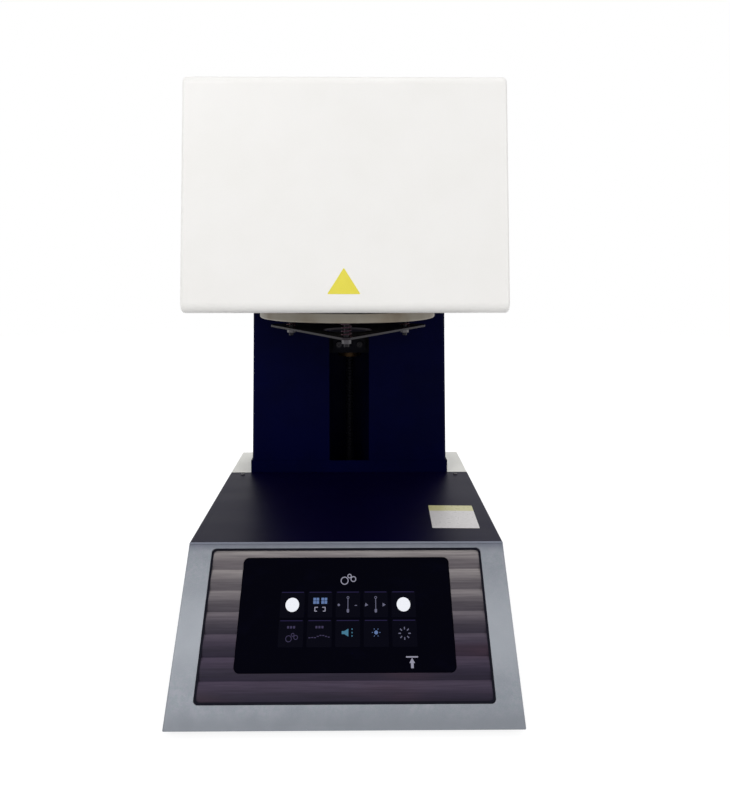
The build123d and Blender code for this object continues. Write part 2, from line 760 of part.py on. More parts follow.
frame_half = block_width / 2 + frame_sheet
frame_back = y_panel_in - frame_clear
frame_front = frame_back - frame_depth
rod_points = [(side * rod_spacing / 2, y_drive) for side in (-1, 1)]
with BuildPart() as column_frame:
    with BuildSketch(Plane.XY.offset(pan_top)):
        with Locations((0, frame_back)):
            Rectangle(2 * frame_half, frame_back - frame_front, align=(Align.CENTER, Align.MAX))
        with Locations((0, frame_back - frame_sheet)):
            Rectangle(block_width, depth, align=(Align.CENTER, Align.MAX), mode=Mode.SUBTRACT)
    extrude(amount=plate_low - pan_top)
    for z in (pan_top, plate_low - frame_sheet):
        with BuildSketch(Plane.XY.offset(z)):
            for side in (-1, 1):
                with Locations((side * (frame_half + block_width / 2) / 2, (frame_front + frame_back) / 2)):
                    Rectangle(frame_half - block_width / 2, frame_back - frame_front)
        extrude(amount=frame_sheet)
column_frame.part.label = "column_frame"
export_step(column_frame.part, "parts/column_frame.step")

# Lift drive: motor on the pan, coupling, lower block, screw and rods, upper block
motor_top = pan_top + motor_length
coupling_low = motor_top + shaft_gap
lower_block = coupling_low + coupling_length + block_gap
upper_block = plate_low - frame_sheet - block_height
block_back = frame_back - frame_sheet
block_front = y_drive - block_reach
with BuildPart() as lift_motor:
    with BuildSketch(Plane.XY.offset(pan_top)):
        with Locations((0, y_drive)):
            RectangleRounded(motor_size, motor_size, motor_radius)
    extrude(amount=motor_length - motor_pilot_height)
    with BuildSketch(Plane.XY.offset(pan_top)):
        with Locations((0, y_drive)):
            Circle(motor_pilot)
    extrude(amount=motor_length)
    with BuildSketch(Plane.XY.offset(motor_top)):
        with Locations((0, y_drive)):
            Circle(journal_radius + slip)
    extrude(amount=-shaft_depth - 1, mode=Mode.SUBTRACT)
lift_motor.part.label = "lift_motor"
export_step(lift_motor.part, "parts/lift_motor.step")

with BuildPart() as motor_bracket:
    with BuildSketch(Plane.XY.offset(motor_top - motor_pilot_height)):
        with Locations((0, block_back)):
            Rectangle(motor_size, block_back - y_drive + motor_size / 2, align=(Align.CENTER, Align.MAX))
        with Locations((0, y_drive)):
            Circle(motor_pilot + slip, mode=Mode.SUBTRACT)
    extrude(amount=frame_sheet)
motor_bracket.part.label = "motor_bracket"
export_step(motor_bracket.part, "parts/motor_bracket.step")

with BuildPart() as motor_shaft:
    with BuildSketch(Plane.XY.offset(motor_top - shaft_depth)):
        with Locations((0, y_drive)):
            Circle(journal_radius)
    extrude(amount=shaft_depth + shaft_gap + coupling_length / 2 - seam)
motor_shaft.part.label = "motor_shaft"
export_step(motor_shaft.part, "parts/motor_shaft.step")

with BuildPart() as shaft_coupling:
    with BuildSketch(Plane.XY.offset(coupling_low)):
        with Locations((0, y_drive)):
            Circle(coupling_radius)
            Circle(journal_radius + slip, mode=Mode.SUBTRACT)
    extrude(amount=coupling_length)
    with BuildSketch(Plane.XY.offset(coupling_low + coupling_length / 2)):
        with Locations((0, y_drive)):
            Circle(coupling_radius + 1)
            Circle(coupling_radius - coupling_groove, mode=Mode.SUBTRACT)
    extrude(amount=1, both=True, mode=Mode.SUBTRACT)
shaft_coupling.part.label = "shaft_coupling"
export_step(shaft_coupling.part, "parts/shaft_coupling.step")

thread_low = lower_block + block_height + 1
thread_high = upper_block - 1
groove_count = int((thread_high - thread_low) / screw_pitch)
with BuildPart() as lead_screw:
    with BuildSketch(Plane.YZ):
        with BuildLine():
            screw_points = [(y_drive, coupling_low + coupling_length / 2 + seam)]
            screw_points += [(y_drive + journal_radius, coupling_low + coupling_length / 2 + seam)]
            screw_points += [(y_drive + journal_radius, thread_low)]
            for groove in range(groove_count):
                turn = thread_low + groove * screw_pitch
                screw_points += [(y_drive + screw_radius - screw_groove, turn)]
                screw_points += [(y_drive + screw_radius - screw_groove, turn + 0.3 * screw_pitch)]
                screw_points += [(y_drive + screw_radius, turn + 0.5 * screw_pitch)]
                screw_points += [(y_drive + screw_radius, turn + 0.8 * screw_pitch)]
            screw_points += [(y_drive + screw_radius - screw_groove, thread_high)]
            screw_points += [(y_drive + journal_radius, thread_high)]
            screw_points += [(y_drive + journal_radius, upper_block + block_height - 2)]
            screw_points += [(y_drive, upper_block + block_height - 2)]
            Polyline(*screw_points, close=True)
        make_face()
    revolve(axis=Axis((0, y_drive, 0), (0, 0, 1)))
lead_screw.part.label = "lead_screw"
export_step(lead_screw.part, "parts/lead_screw.step")

with BuildPart() as bearing_blocks:
    for block_low in (lower_block, upper_block):
        with BuildSketch(Plane.XY.offset(block_low)):
            with Locations((0, block_back)):
                Rectangle(block_width, block_back - block_front, align=(Align.CENTER, Align.MAX))
            with Locations((0, y_drive)):
                Circle(bearing_radius + slip, mode=Mode.SUBTRACT)
            with Locations(*rod_points):
                Circle(rod_radius + slip, mode=Mode.SUBTRACT)
        extrude(amount=block_height)
    chamfer(bearing_blocks.edges().filter_by(Axis.Z).group_by(Axis.Y)[0], 3)
bearing_blocks.part.label = "bearing_blocks"
export_step(bearing_blocks.part, "parts/bearing_blocks.step")

with BuildPart() as screw_bearings:
    for block_low in (lower_block, upper_block):
        with BuildSketch(Plane.XY.offset(block_low + (block_height - bearing_width) / 2)):
            with Locations((0, y_drive)):
                Circle(bearing_radius)
                Circle(journal_radius + slip, mode=Mode.SUBTRACT)
        extrude(amount=bearing_width)
screw_bearings.part.label = "screw_bearings"
export_step(screw_bearings.part, "parts/screw_bearings.step")

with BuildPart() as guide_rods:
    with BuildSketch(Plane.XY.offset(lower_block)):
        with Locations(*rod_points):
            Circle(rod_radius)
    extrude(amount=upper_block + block_height - lower_block)
    chamfer(guide_rods.edges().filter_by(GeomType.CIRCLE), 0.5)
guide_rods.part.label = "guide_rods"
export_step(guide_rods.part, "parts/guide_rods.step")

# Carriage with its bushes and nut. The arm's bar passes through the slot under the carrier.
table_low = z_head - table_drop
carrier_top = table_low - carrier_gap
carrier_low = carrier_top - carrier_thick
bar_low = carrier_low - arm_thick
carriage_top = carrier_low + carriage_rise
carriage_low = carriage_top - carriage_height
carriage_front = y_drive - carriage_depth / 2
arm_face = carriage_front - arm_thick
arm_bolt_points = [
    (side * arm_bolt_x, carriage_low + level) for side in (-1, 1) for level in arm_bolt_levels
]
with BuildPart() as carriage:
    with BuildSketch(Plane.XY.offset(carriage_low)):
        with Locations((0, y_drive)):
            RectangleRounded(carriage_width, carriage_depth, 4)
            Circle(nut_radius + slip, mode=Mode.SUBTRACT)
        with Locations(*rod_points):
            Circle(bush_radius + slip, mode=Mode.SUBTRACT)
    extrude(amount=carriage_height)
    with BuildSketch(back_plane(carriage_front)):
        with Locations(*arm_bolt_points):
            Circle(arm_bolt_radius + slip)
    extrude(amount=-arm_bolt_depth, mode=Mode.SUBTRACT)
carriage.part.label = "carriage"
export_step(carriage.part, "parts/carriage.step")

with BuildPart() as linear_bushes:
    for bush_low in (carriage_low + bush_inset, carriage_top - bush_inset - bush_length):
        with BuildSketch(Plane.XY.offset(bush_low)):
            with Locations(*rod_points):
                Circle(bush_radius)
                Circle(rod_radius + slip, mode=Mode.SUBTRACT)
        extrude(amount=bush_length)
linear_bushes.part.label = "linear_bushes"
export_step(linear_bushes.part, "parts/linear_bushes.step")

with BuildPart() as lead_nut:
    with BuildSketch(Plane.XY.offset(carriage_low)):
        with Locations((0, y_drive)):
            Circle(nut_flange_radius)
    extrude(amount=-nut_flange)
    with BuildSketch(Plane.XY.offset(carriage_low)):
        with Locations((0, y_drive)):
            Circle(nut_radius)
    extrude(amount=nut_length)
    with BuildSketch(Plane.XY.offset(carriage_low - nut_flange)):
        with Locations((0, y_drive)):
            Circle(screw_radius + 2 * slip)
            with PolarLocations((nut_radius + nut_flange_radius) / 2, 4, start_angle=45):
                Circle(nut_screw)
    extrude(amount=nut_length + nut_flange, mode=Mode.SUBTRACT)
lead_nut.part.label = "lead_nut"
export_step(lead_nut.part, "parts/lead_nut.step")

carrier_nose_y = y_axis - carrier_nose
carrier_back_y = y_axis + carrier_back
bar_front = y_axis + arm_reach
carrier_tail_y = carrier_back_y + carrier_tail
plate_screw_points = [
    (side * plate_screw_x, y)
    for side in (-1, 1)
    for y in (bar_front + plate_screw_x, carrier_tail_y - plate_screw_x)
]
with BuildPart() as lift_arm:
    with BuildSketch(Plane.XY.offset(bar_low)):
        with Locations((0, bar_front)):
            Rectangle(arm_width, carriage_front - bar_front, align=(Align.CENTER, Align.MIN))
    extrude(amount=arm_thick)
    fillet(lift_arm.edges().filter_by(Axis.Z).group_by(Axis.Y)[0], carrier_corner)
    with BuildSketch(back_plane(arm_face)):
        with Locations((0, carriage_low + arm_foot)):
            Rectangle(arm_width, carrier_low - carriage_low - arm_foot, align=(Align.CENTER, Align.MIN))
    extrude(amount=-arm_thick)
    with BuildSketch(Plane.YZ):
        Polygon(
            (arm_face, bar_low),
            (arm_face - gusset_run, bar_low),
            (arm_face, bar_low - gusset_drop),
            align=None,
        )
    extrude(amount=gusset_half, both=True)
    with BuildSketch(back_plane(arm_face)):
        with Locations(*arm_bolt_points):
            Circle(arm_bolt_radius + slip)
    extrude(amount=-arm_thick, mode=Mode.SUBTRACT)
    with BuildSketch(Plane.XY.offset(carrier_low)):
        with Locations(*plate_screw_points):
            Circle(plate_screw_radius + slip)
    extrude(amount=-arm_thick, mode=Mode.SUBTRACT)
lift_arm.part.label = "lift_arm"
export_step(lift_arm.part, "parts/lift_arm.step")

post_points = [
    (post_circle * cos(radians(a)), y_axis + post_circle * sin(radians(a))) for a in post_angles
]
post_hole = post_radius + seam
with BuildPart() as carrier_plate:
    with BuildSketch(Plane.XY.offset(carrier_low)) as carrier_outline:
        Polygon(
            (0, carrier_nose_y),
            (carrier_half, carrier_back_y - carrier_end),
            (carrier_half, carrier_back_y),
            (arm_width / 2, carrier_tail_y),
            (-arm_width / 2, carrier_tail_y),
            (-carrier_half, carrier_back_y),
            (-carrier_half, carrier_back_y - carrier_end),
            align=None,
        )
        fillet(carrier_outline.vertices(), carrier_corner)
        with Locations(*post_points):
            Circle(post_hole, mode=Mode.SUBTRACT)
        with Locations((0, y_axis)):
            Circle(carrier_window, mode=Mode.SUBTRACT)
    extrude(amount=carrier_thick)
    with Locations(*[(x, y, carrier_top) for x, y in plate_screw_points]):
        CounterSinkHole(plate_screw_radius + slip, 2 * plate_screw_radius, carrier_thick)
carrier_plate.part.label = "carrier_plate"
export_step(carrier_plate.part, "parts/carrier_plate.step")

# Socket-head bolts hold the arm to the carriage, and countersunk screws the carrier to the arm.
with BuildPart() as arm_screws:
    with BuildSketch(back_plane(arm_face)):
        with Locations(*arm_bolt_points):
            Circle(1.7 * arm_bolt_radius)
    extrude(amount=2 * arm_bolt_radius)
    with BuildSketch(back_plane(arm_face - 2 * arm_bolt_radius)):
        with Locations(*arm_bolt_points):
            RegularPolygon(arm_bolt_radius, 6)
    extrude(amount=-arm_bolt_radius, mode=Mode.SUBTRACT)
    with BuildSketch(back_plane(arm_face)):
        with Locations(*arm_bolt_points):
            Circle(arm_bolt_radius)
    extrude(amount=seam - arm_thick - arm_bolt_depth)
    with BuildSketch(Plane.XY.offset(carrier_top)):
        with Locations(*plate_screw_points):
            Circle(2 * plate_screw_radius - slip)
    extrude(amount=-plate_screw_radius, taper=45)
    with BuildSketch(Plane.XY.offset(carrier_top - plate_screw_radius / 2)):
        with Locations(*plate_screw_points):
            Circle(plate_screw_radius)
    extrude(amount=plate_screw_radius / 2 - carrier_thick - arm_thick)
arm_screws.part.label = "arm_screws"
export_step(arm_screws.part, "parts/arm_screws.step")

# ---------------------------------------------------------------- table
table_top = table_low + table_thick
post_low = carrier_low - seam - post_nut - post_tail
with BuildPart() as table_plate:
    with BuildSketch(Plane.XY.offset(table_low)):
        with Locations((0, y_axis)):
            Circle(table_radius)
    extrude(amount=table_thick)
    fillet(table_plate.edges().group_by(Axis.Z)[0], table_edge_low)
    fillet(table_plate.edges().group_by(Axis.Z)[-1], table_edge_high)
    with BuildSketch(Plane.XY.offset(table_low)):
        with Locations(*post_points):
            Circle(post_radius + slip)
    extrude(amount=post_seat, mode=Mode.SUBTRACT)
table_plate.part.label = "table_plate"
export_step(table_plate.part, "parts/table_plate.step")

with BuildPart() as spring_posts:
    with BuildSketch(Plane.XY.offset(post_low)):
        with Locations(*post_points):
            Circle(post_radius)
    extrude(amount=table_low + post_seat - post_low)
    chamfer(spring_posts.edges().group_by(Axis.Z)[0], post_radius / 5)
spring_posts.part.label = "spring_posts"
export_step(spring_posts.part, "parts/spring_posts.step")

with BuildPart() as post_nuts:
    with BuildSketch(Plane.XY.offset(carrier_low - seam)):
        with Locations(*post_points):
            RegularPolygon(post_nut_radius, 6)
            Circle(post_radius + slip, mode=Mode.SUBTRACT)
    extrude(amount=-post_nut)
post_nuts.part.label = "post_nuts"
export_step(post_nuts.part, "parts/post_nuts.step")

# Each spring is a round wire coiled between the carrier and the table, as tall as the gap it fills.
spring_room = carrier_gap - 2 * slip
spring_pitch = (spring_room - spring_wire) / spring_turns
spring_low = carrier_top + slip + spring_wire / 2
with BuildPart() as table_springs:
    for x, y in post_points:
        with BuildLine() as coil_line:
            Helix(
                pitch=spring_pitch,
                height=spring_turns * spring_pitch,
                radius=spring_radius,
                center=(x, y, spring_low),
            )
        with BuildSketch(Plane(coil_line.line @ 0, z_dir=coil_line.line % 0)):
            Circle(spring_wire / 2)
        sweep(path=coil_line.line)
table_springs.part.label = "table_springs"
export_step(table_springs.part, "parts/table_springs.step")

plug_top = table_top + plug_height
with BuildPart() as insulation_plug:
    with BuildSketch(Plane.XY.offset(table_top)):
        with Locations((0, y_axis)):
            Circle(plug_radius)
    extrude(amount=plug_height)
    chamfer(insulation_plug.edges().group_by(Axis.Z)[-1], plug_chamfer)
    with BuildSketch(Plane.XY.offset(plug_top)):
        with Locations((0, y_axis)):
            Circle(tray_radius + seam)
    extrude(amount=-tray_seat, mode=Mode.SUBTRACT)
insulation_plug.part.label = "insulation_plug"
export_step(insulation_plug.part, "parts/insulation_plug.step")

tray_low = plug_top - tray_seat
with BuildPart() as firing_tray:
    with BuildSketch(Plane.XY.offset(tray_low)):
        with Locations((0, y_axis)):
            Circle(tray_radius)
    extrude(amount=tray_height)
    with BuildSketch(Plane.XY.offset(tray_low + tray_height)):
        with Locations((0, y_axis)):
            Circle(tray_radius - tray_wall)
    extrude(amount=-tray_height + tray_wall, mode=Mode.SUBTRACT)
    fillet(firing_tray.edges().group_by(Axis.Z)[-1], tray_wall / 3)
firing_tray.part.label = "firing_tray"
export_step(firing_tray.part, "parts/firing_tray.step")


# ---------------------------------------------------------------- head
def head_outline(inset, z_low, z_high):
    """Corners in (X, Z) of the head's front, drawn in by inset at its sides."""
    low = head_half(z_low) - inset
    high = head_half(z_high) - inset
    return [(-low, z_low), (low, z_low), (high, z_high), (-high, z_high)]


with BuildPart() as head_cavity:
    with BuildSketch(back_plane(y_head + lip)):
        Polygon(*head_outline(lip, z_head + lip, z_top - lip), align=None)
    extrude(amount=-depth)
    hidden_front = head_cavity.faces().sort_by(Axis.Y)[0]
    fillet(hidden_front.edges().group_by(Axis.Z)[0], head_front_low - lip)
    fillet(head_cavity.faces().sort_by(Axis.Y)[0].edges().group_by(Axis.Z)[-1], head_front_top - lip)

with BuildPart() as head_cover:
    with BuildSketch(back_plane(y_head)):
        Polygon(*head_outline(0, z_head, z_top), align=None)
    extrude(amount=-head_depth)
    fillet(head_cover.faces().sort_by(Axis.Y)[0].edges().group_by(Axis.Z)[-1], head_front_top)
    fillet(head_cover.faces().sort_by(Axis.Y)[0].edges().group_by(Axis.Z)[0], head_front_low)
    head_sides = head_cover.faces().sort_by(Axis.X)
    side_edges = head_sides[0].edges() + head_sides[-1].edges()
    fillet(side_edges.filter_by(lambda e: e.center().Y < y_back - head_lip), head_corner)
    add(head_cavity.part, mode=Mode.SUBTRACT)
    with BuildSketch(Plane.XY.offset(z_head)):
        with Locations((0, y_head + head_lip)):
            Rectangle(head_width - 2 * head_lip, depth, align=(Align.CENTER, Align.MIN))
    extrude(amount=lip, mode=Mode.SUBTRACT)
head_cover.part.label = "head_cover"
export_step(head_cover.part, "parts/head_cover.step")

plate_high = plate_low + frame_sheet
head_inset = lip + seam
mouth_radius = plug_radius + mouth_gap + mouth_step
lead_points = [(frame_half + gap, frame_front + 4) for gap in (2 * lead_radius, 6 * lead_radius)]
with BuildPart() as head_base_plate:
    with BuildSketch(Plane.XY.offset(plate_low)):
        with Locations((0, y_head + head_front_low)):
            Rectangle(
                2 * (head_half(plate_high) - head_inset),
                y_panel_in - y_head - head_front_low,
                align=(Align.CENTER, Align.MIN),
            )
        with Locations((0, y_axis)):
            Circle(mouth_radius, mode=Mode.SUBTRACT)
        with Locations(*lead_points):
            Circle(lead_radius + lead_grommet, mode=Mode.SUBTRACT)
    extrude(amount=frame_sheet)
head_base_plate.part.label = "head_base_plate"
export_step(head_base_plate.part, "parts/head_base_plate.step")

head_panel_screws = [
    (side * (head_half(z_top) - panel_screw_inset), z)
    for side in (-1, 1)
    for z in (z_head + 2 * panel_screw_inset, z_top - panel_screw_inset)
]
with BuildPart() as head_rear_panel:
    with BuildSketch(back_plane(y_panel)):
        Polygon(*head_outline(head_inset, plate_low, z_top - head_inset), align=None)
        with Locations((head_fan_x, head_fan_z)):
            Circle(fan_hole, mode=Mode.SUBTRACT)
            with GridLocations(fan_screw_pitch, fan_screw_pitch, 2, 2):
                Circle(screw_hole + slip, mode=Mode.SUBTRACT)
        with Locations((-head_fan_x, head_fan_z)):
            with GridLocations(0, vent_pitch, 1, 8):
                SlotOverall(head_width / 4, vent_slot, mode=Mode.SUBTRACT)
        with Locations((0, z_head + head_height / 4)):
            with GridLocations(0.3 * head_width, vent_pitch, 2, 4):
                SlotOverall(head_width / 4, vent_slot, mode=Mode.SUBTRACT)
        with Locations(*head_panel_screws):
            Circle(screw_hole + slip, mode=Mode.SUBTRACT)
    extrude(amount=sheet)
head_rear_panel.part.label = "head_rear_panel"
export_step(head_rear_panel.part, "parts/head_rear_panel.step")

muffle_low = plate_high
roof_low = muffle_low + chamber_height
roof_high = roof_low + roof_thick
lining_radius = can_radius - sheet - seam
with BuildPart() as muffle_can:
    with BuildSketch(Plane.XY.offset(muffle_low)):
        with Locations((0, y_axis)):
            Circle(can_radius)
    extrude(amount=roof_high + sheet - muffle_low)
    with BuildSketch(Plane.XY.offset(muffle_low)):
        with Locations((0, y_axis)):
            Circle(can_radius + can_flange)
            with PolarLocations(can_radius + can_flange / 2, 8):
                Circle(screw_hole, mode=Mode.SUBTRACT)
    extrude(amount=sheet)
    with BuildSketch(Plane.XY.offset(muffle_low)):
        with Locations((0, y_axis)):
            Circle(can_radius - sheet)
    extrude(amount=roof_high - muffle_low, mode=Mode.SUBTRACT)
    with BuildSketch(Plane.XY.offset(roof_high)):
        with Locations((0, y_axis)):
            Circle(can_window)
    extrude(amount=sheet, mode=Mode.SUBTRACT)
muffle_can.part.label = "muffle_can"
export_step(muffle_can.part, "parts/muffle_can.step")

with BuildPart() as muffle_wall:
    with BuildSketch(Plane.XY.offset(muffle_low)):
        with Locations((0, y_axis)):
            Circle(lining_radius)
            Circle(plug_radius + mouth_gap, mode=Mode.SUBTRACT)
    extrude(amount=chamber_height)
muffle_wall.part.label = "muffle_wall"
export_step(muffle_wall.part, "parts/muffle_wall.step")

# Elements hang through the roof: a thin U in the chamber under two thick terminals.
element_planes = [
    Plane(
        origin=(
            element_circle * cos(radians(45 + 360 / element_count * n)),
            y_axis + element_circle * sin(radians(45 + 360 / element_count * n)),
            0,
        ),
        x_dir=(
            -sin(radians(45 + 360 / element_count * n)),
            cos(radians(45 + 360 / element_count * n)),
            0,
        ),
        z_dir=(0, 0, 1),
    )
    for n in range(element_count)
]
terminal_points = [
    plane.from_local_coords((side * element_spacing / 2, 0, 0))
    for plane in element_planes
    for side in (-1, 1)
]
with BuildPart() as muffle_roof:
    with BuildSketch(Plane.XY.offset(roof_low)):
        with Locations((0, y_axis)):
            Circle(lining_radius)
            Circle(probe_radius + seam, mode=Mode.SUBTRACT)
        with Locations(*[(p.X, p.Y) for p in terminal_points]):
            Circle(terminal_radius + seam, mode=Mode.SUBTRACT)
    extrude(amount=roof_thick)
muffle_roof.part.label = "muffle_roof"
export_step(muffle_roof.part, "parts/muffle_roof.step")

bend_low = plug_top + element_rise
terminal_top = roof_high + terminal_rise
half_spacing = element_spacing / 2
with BuildPart() as heating_elements:
    for plane in element_planes:
        with BuildLine(Plane(origin=plane.origin, x_dir=plane.x_dir, z_dir=-plane.y_dir)) as u_line:
            Line((-half_spacing, roof_low), (-half_spacing, bend_low + half_spacing))
            ThreePointArc(
                (-half_spacing, bend_low + half_spacing),
                (0, bend_low),
                (half_spacing, bend_low + half_spacing),
            )
            Line((half_spacing, bend_low + half_spacing), (half_spacing, roof_low))
        with BuildSketch(Plane(u_line.wires()[0] @ 0, z_dir=u_line.wires()[0] % 0)):
            Circle(element_radius)
        sweep(path=u_line.wires()[0])
    with BuildSketch(Plane.XY.offset(roof_low)):
        with Locations(*[(p.X, p.Y) for p in terminal_points]):
            Circle(terminal_radius)
    extrude(amount=terminal_top - roof_low)
heating_elements.part.label = "heating_elements"
export_step(heating_elements.part, "parts/heating_elements.step")

with BuildPart() as element_holders:
    for plane in element_planes:
        with BuildSketch(plane.offset(roof_high)):
            RectangleRounded(element_spacing + 2 * holder_margin, holder_width, holder_height / 4)
            with GridLocations(element_spacing, 0, 2, 1):
                Circle(terminal_radius + slip, mode=Mode.SUBTRACT)
        extrude(amount=holder_height)
element_holders.part.label = "element_holders"
export_step(element_holders.part, "parts/element_holders.step")

# Braided straps join each element's terminal to the next element's, all but the last pair.
strap_low = roof_high + holder_height + strap_gap
strap_ends = [
    (terminal_points[2 * n + 1], terminal_points[2 * n + 2]) for n in range(element_count - 1)
]
with BuildPart() as element_straps:
    for first, second in strap_ends:
        middle = (first + second) / 2
        run = second - first
        strap_plane = Plane(
            origin=(middle.X, middle.Y, strap_low), x_dir=(run.X, run.Y, 0), z_dir=(0, 0, 1)
        )
        with BuildSketch(strap_plane):
            SlotCenterToCenter(run.length, 3 * terminal_radius)
            with GridLocations(run.length, 0, 2, 1):
                Circle(terminal_radius + slip, mode=Mode.SUBTRACT)
        extrude(amount=strap_thick)
element_straps.part.label = "element_straps"
export_step(element_straps.part, "parts/element_straps.step")

with BuildPart() as thermocouple:
    with BuildSketch(Plane.XY.offset(roof_high)):
        with Locations((0, y_axis)):
            Circle(probe_head_radius)
    extrude(amount=probe_head_height)
    with BuildSketch(Plane.XY.offset(roof_high)):
        with Locations((0, y_axis)):
            Circle(probe_radius)
    extrude(amount=-roof_thick - probe_reach)
    fillet(thermocouple.edges().group_by(Axis.Z)[0], 0.8 * probe_radius)
thermocouple.part.label = "thermocouple"
export_step(thermocouple.part, "parts/thermocouple.step")

# Heater leads rise beside the frame, run forward over the muffle and turn in to the free terminals.
lead_level = terminal_top - terminal_radius
lead_ends = [terminal_points[0], terminal_points[-1]]
with BuildPart() as heater_leads:
    for (x, y), end in zip(lead_points, lead_ends):
        with BuildLine() as lead_line:
            FilletPolyline(
                (x, y, pan_top + seam),
                (x, y, lead_level),
                (x, end.Y, lead_level),
                (end.X + terminal_radius + seam, end.Y, lead_level),
                radius=4 * lead_radius,
            )
        with BuildSketch(Plane(lead_line.wires()[0] @ 0, z_dir=lead_line.wires()[0] % 0)):
            Circle(lead_radius)
        sweep(path=lead_line.wires()[0])
heater_leads.part.label = "heater_leads"
export_step(heater_leads.part, "parts/heater_leads.step")

# ---------------------------------------------------------------- fans, base and head alike
hub_radius = 0.23 * fan_size
blade_tip = fan_size / 2 - 4
blade_count = 7
fan_pin = 2.0
fan_points = [(base_fan_x, base_fan_z), (head_fan_x, head_fan_z)]
strut_thick = 3.0
strut_width = 5.0
with BuildPart() as fan_frames:
    with BuildSketch(back_plane(y_panel_in)):
        with Locations(*fan_points):
            RectangleRounded(fan_size, fan_size, fan_rim)
            Circle(fan_hole, mode=Mode.SUBTRACT)
            with GridLocations(fan_screw_pitch, fan_screw_pitch, 2, 2):
                Circle(screw_hole + slip, mode=Mode.SUBTRACT)
    extrude(amount=fan_thick)
    with BuildSketch(back_plane(y_panel_in - fan_thick + strut_thick)):
        with Locations(*fan_points):
            Circle(hub_radius)
            Rectangle(2 * fan_hole + fan_rim, strut_width)
            Rectangle(strut_width, 2 * fan_hole + fan_rim)
    extrude(amount=strut_thick)
    with BuildSketch(back_plane(y_panel_in - fan_thick + strut_thick)):
        with Locations(*fan_points):
            Circle(fan_pin)
    extrude(amount=-fan_thick / 2)
fan_frames.part.label = "fan_frames"
export_step(fan_frames.part, "parts/fan_frames.step")

for fan_name, (fan_x, fan_z) in zip(("base_fan_rotor", "head_fan_rotor"), fan_points):
    with BuildPart() as fan_rotor:
        with BuildSketch(back_plane(y_panel_in - 2)):
            with Locations((fan_x, fan_z)):
                Circle(hub_radius)
        extrude(amount=fan_thick - strut_thick - 3)
        with BuildSketch(back_plane(y_panel_in - fan_thick + strut_thick + 1)):
            with Locations((fan_x, fan_z)):
                Circle(fan_pin + slip)
        extrude(amount=-fan_thick / 2, mode=Mode.SUBTRACT)
        for blade in range(blade_count):
            around = 2 * pi / blade_count * blade
            blade_plane = Plane(
                origin=(fan_x, y_panel_in - fan_thick / 2 + strut_thick / 2, fan_z),
                x_dir=(0, 1, 0),
                z_dir=(cos(around), 0, sin(around)),
            )
            with BuildSketch(blade_plane.offset(hub_radius - 1)):
                Rectangle(fan_size / 5, 1.6, rotation=40)
            extrude(amount=blade_tip - hub_radius + 1)
    fan_rotor.part.label = fan_name
    export_step(fan_rotor.part, f"parts/{fan_name}.step")

guard_wire = 1.8
guard_pitch = 8.0
guard_middle = 6.0       # radius inside the guard's first ring
with BuildPart() as fan_guards:
    with BuildSketch(back_plane(y_panel)):
        with Locations(*fan_points):
            for ring in range(int(fan_hole / guard_pitch) + 1):
                Circle(guard_middle + guard_pitch * ring + guard_wire)
                Circle(guard_middle + guard_pitch * ring, mode=Mode.SUBTRACT)
            for turned in (45, 135):
                Rectangle(fan_screw_pitch * 1.45, 1.5 * guard_wire, rotation=turned)
            with GridLocations(fan_screw_pitch, fan_screw_pitch, 2, 2):
                Circle(2 * screw_hole)
    extrude(amount=-guard_wire)
fan_guards.part.label = "fan_guards"
export_step(fan_guards.part, "parts/fan_guards.step")

# ---------------------------------------------------------------- limit switches and cover screws
# Each switch stands on the frame's back, and its lever reaches over the end of the carriage's path.
limit_size = (20.0, 14.0, 28.0)
lever_thick = 1.0
lever_levels = (lower_block + block_height + 2, upper_block - 3)
with BuildPart() as limit_switches:
    for lever_low, direction in zip(lever_levels, (-1, 1)):
        body_low = lever_low if direction < 0 else lever_low + lever_thick - limit_size[2]
        with BuildSketch(Plane.XY.offset(body_low)):
            with Locations((-rod_spacing / 2, block_back)):
                Rectangle(limit_size[0], limit_size[1], align=(Align.CENTER, Align.MAX))
        extrude(amount=limit_size[2])
        with BuildSketch(Plane.XY.offset(lever_low)):
            with Locations((-rod_spacing / 4, block_back)):
                Rectangle(8, block_back - y_drive - 6, align=(Align.CENTER, Align.MAX))
            with Locations((-rod_spacing / 2, block_back)):
                Rectangle(rod_spacing / 2, limit_size[1] / 2, align=(Align.MIN, Align.MAX))
        extrude(amount=lever_thick)
limit_switches.part.label = "limit_switches"
export_step(limit_switches.part, "parts/limit_switches.step")

# Button-head screws hold the deck, and cross-head screws the rear panels.
deck_head = 1.4
with BuildPart() as cover_screws:
    with BuildSketch(Plane.XY.offset(z_deck)):
        with Locations(*deck_screw_points):
            Circle(2 * deck_screw_radius)
    extrude(amount=deck_head)
    fillet(cover_screws.edges().group_by(Axis.Z)[-1], 0.6 * deck_head)
    with BuildSketch(Plane.XY.offset(z_deck)):
        with Locations(*deck_screw_points):
            Circle(deck_screw_radius)
    extrude(amount=-8)
    with BuildSketch(Plane.XY.offset(z_deck + deck_head)):
        with Locations(*deck_screw_points):
            RegularPolygon(0.8 * deck_screw_radius, 6)
    extrude(amount=-0.7 * deck_head, mode=Mode.SUBTRACT)
    with BuildSketch(back_plane(y_panel)):
        with Locations(*base_panel_screws, *column_screws, *head_panel_screws):
            Circle(2 * screw_hole)
    extrude(amount=-screw_head)
    with BuildSketch(back_plane(y_panel)):
        with Locations(*base_panel_screws, *column_screws, *head_panel_screws):
            Circle(screw_hole)
    extrude(amount=sheet + 4)
    with BuildSketch(back_plane(y_panel + screw_head)):
        with Locations(*base_panel_screws, *column_screws, *head_panel_screws):
            Rectangle(2.6 * screw_hole, 0.8)
            Rectangle(0.8, 2.6 * screw_hole)
    extrude(amount=1, mode=Mode.SUBTRACT)
cover_screws.part.label = "cover_screws"
export_step(cover_screws.part, "parts/cover_screws.step")
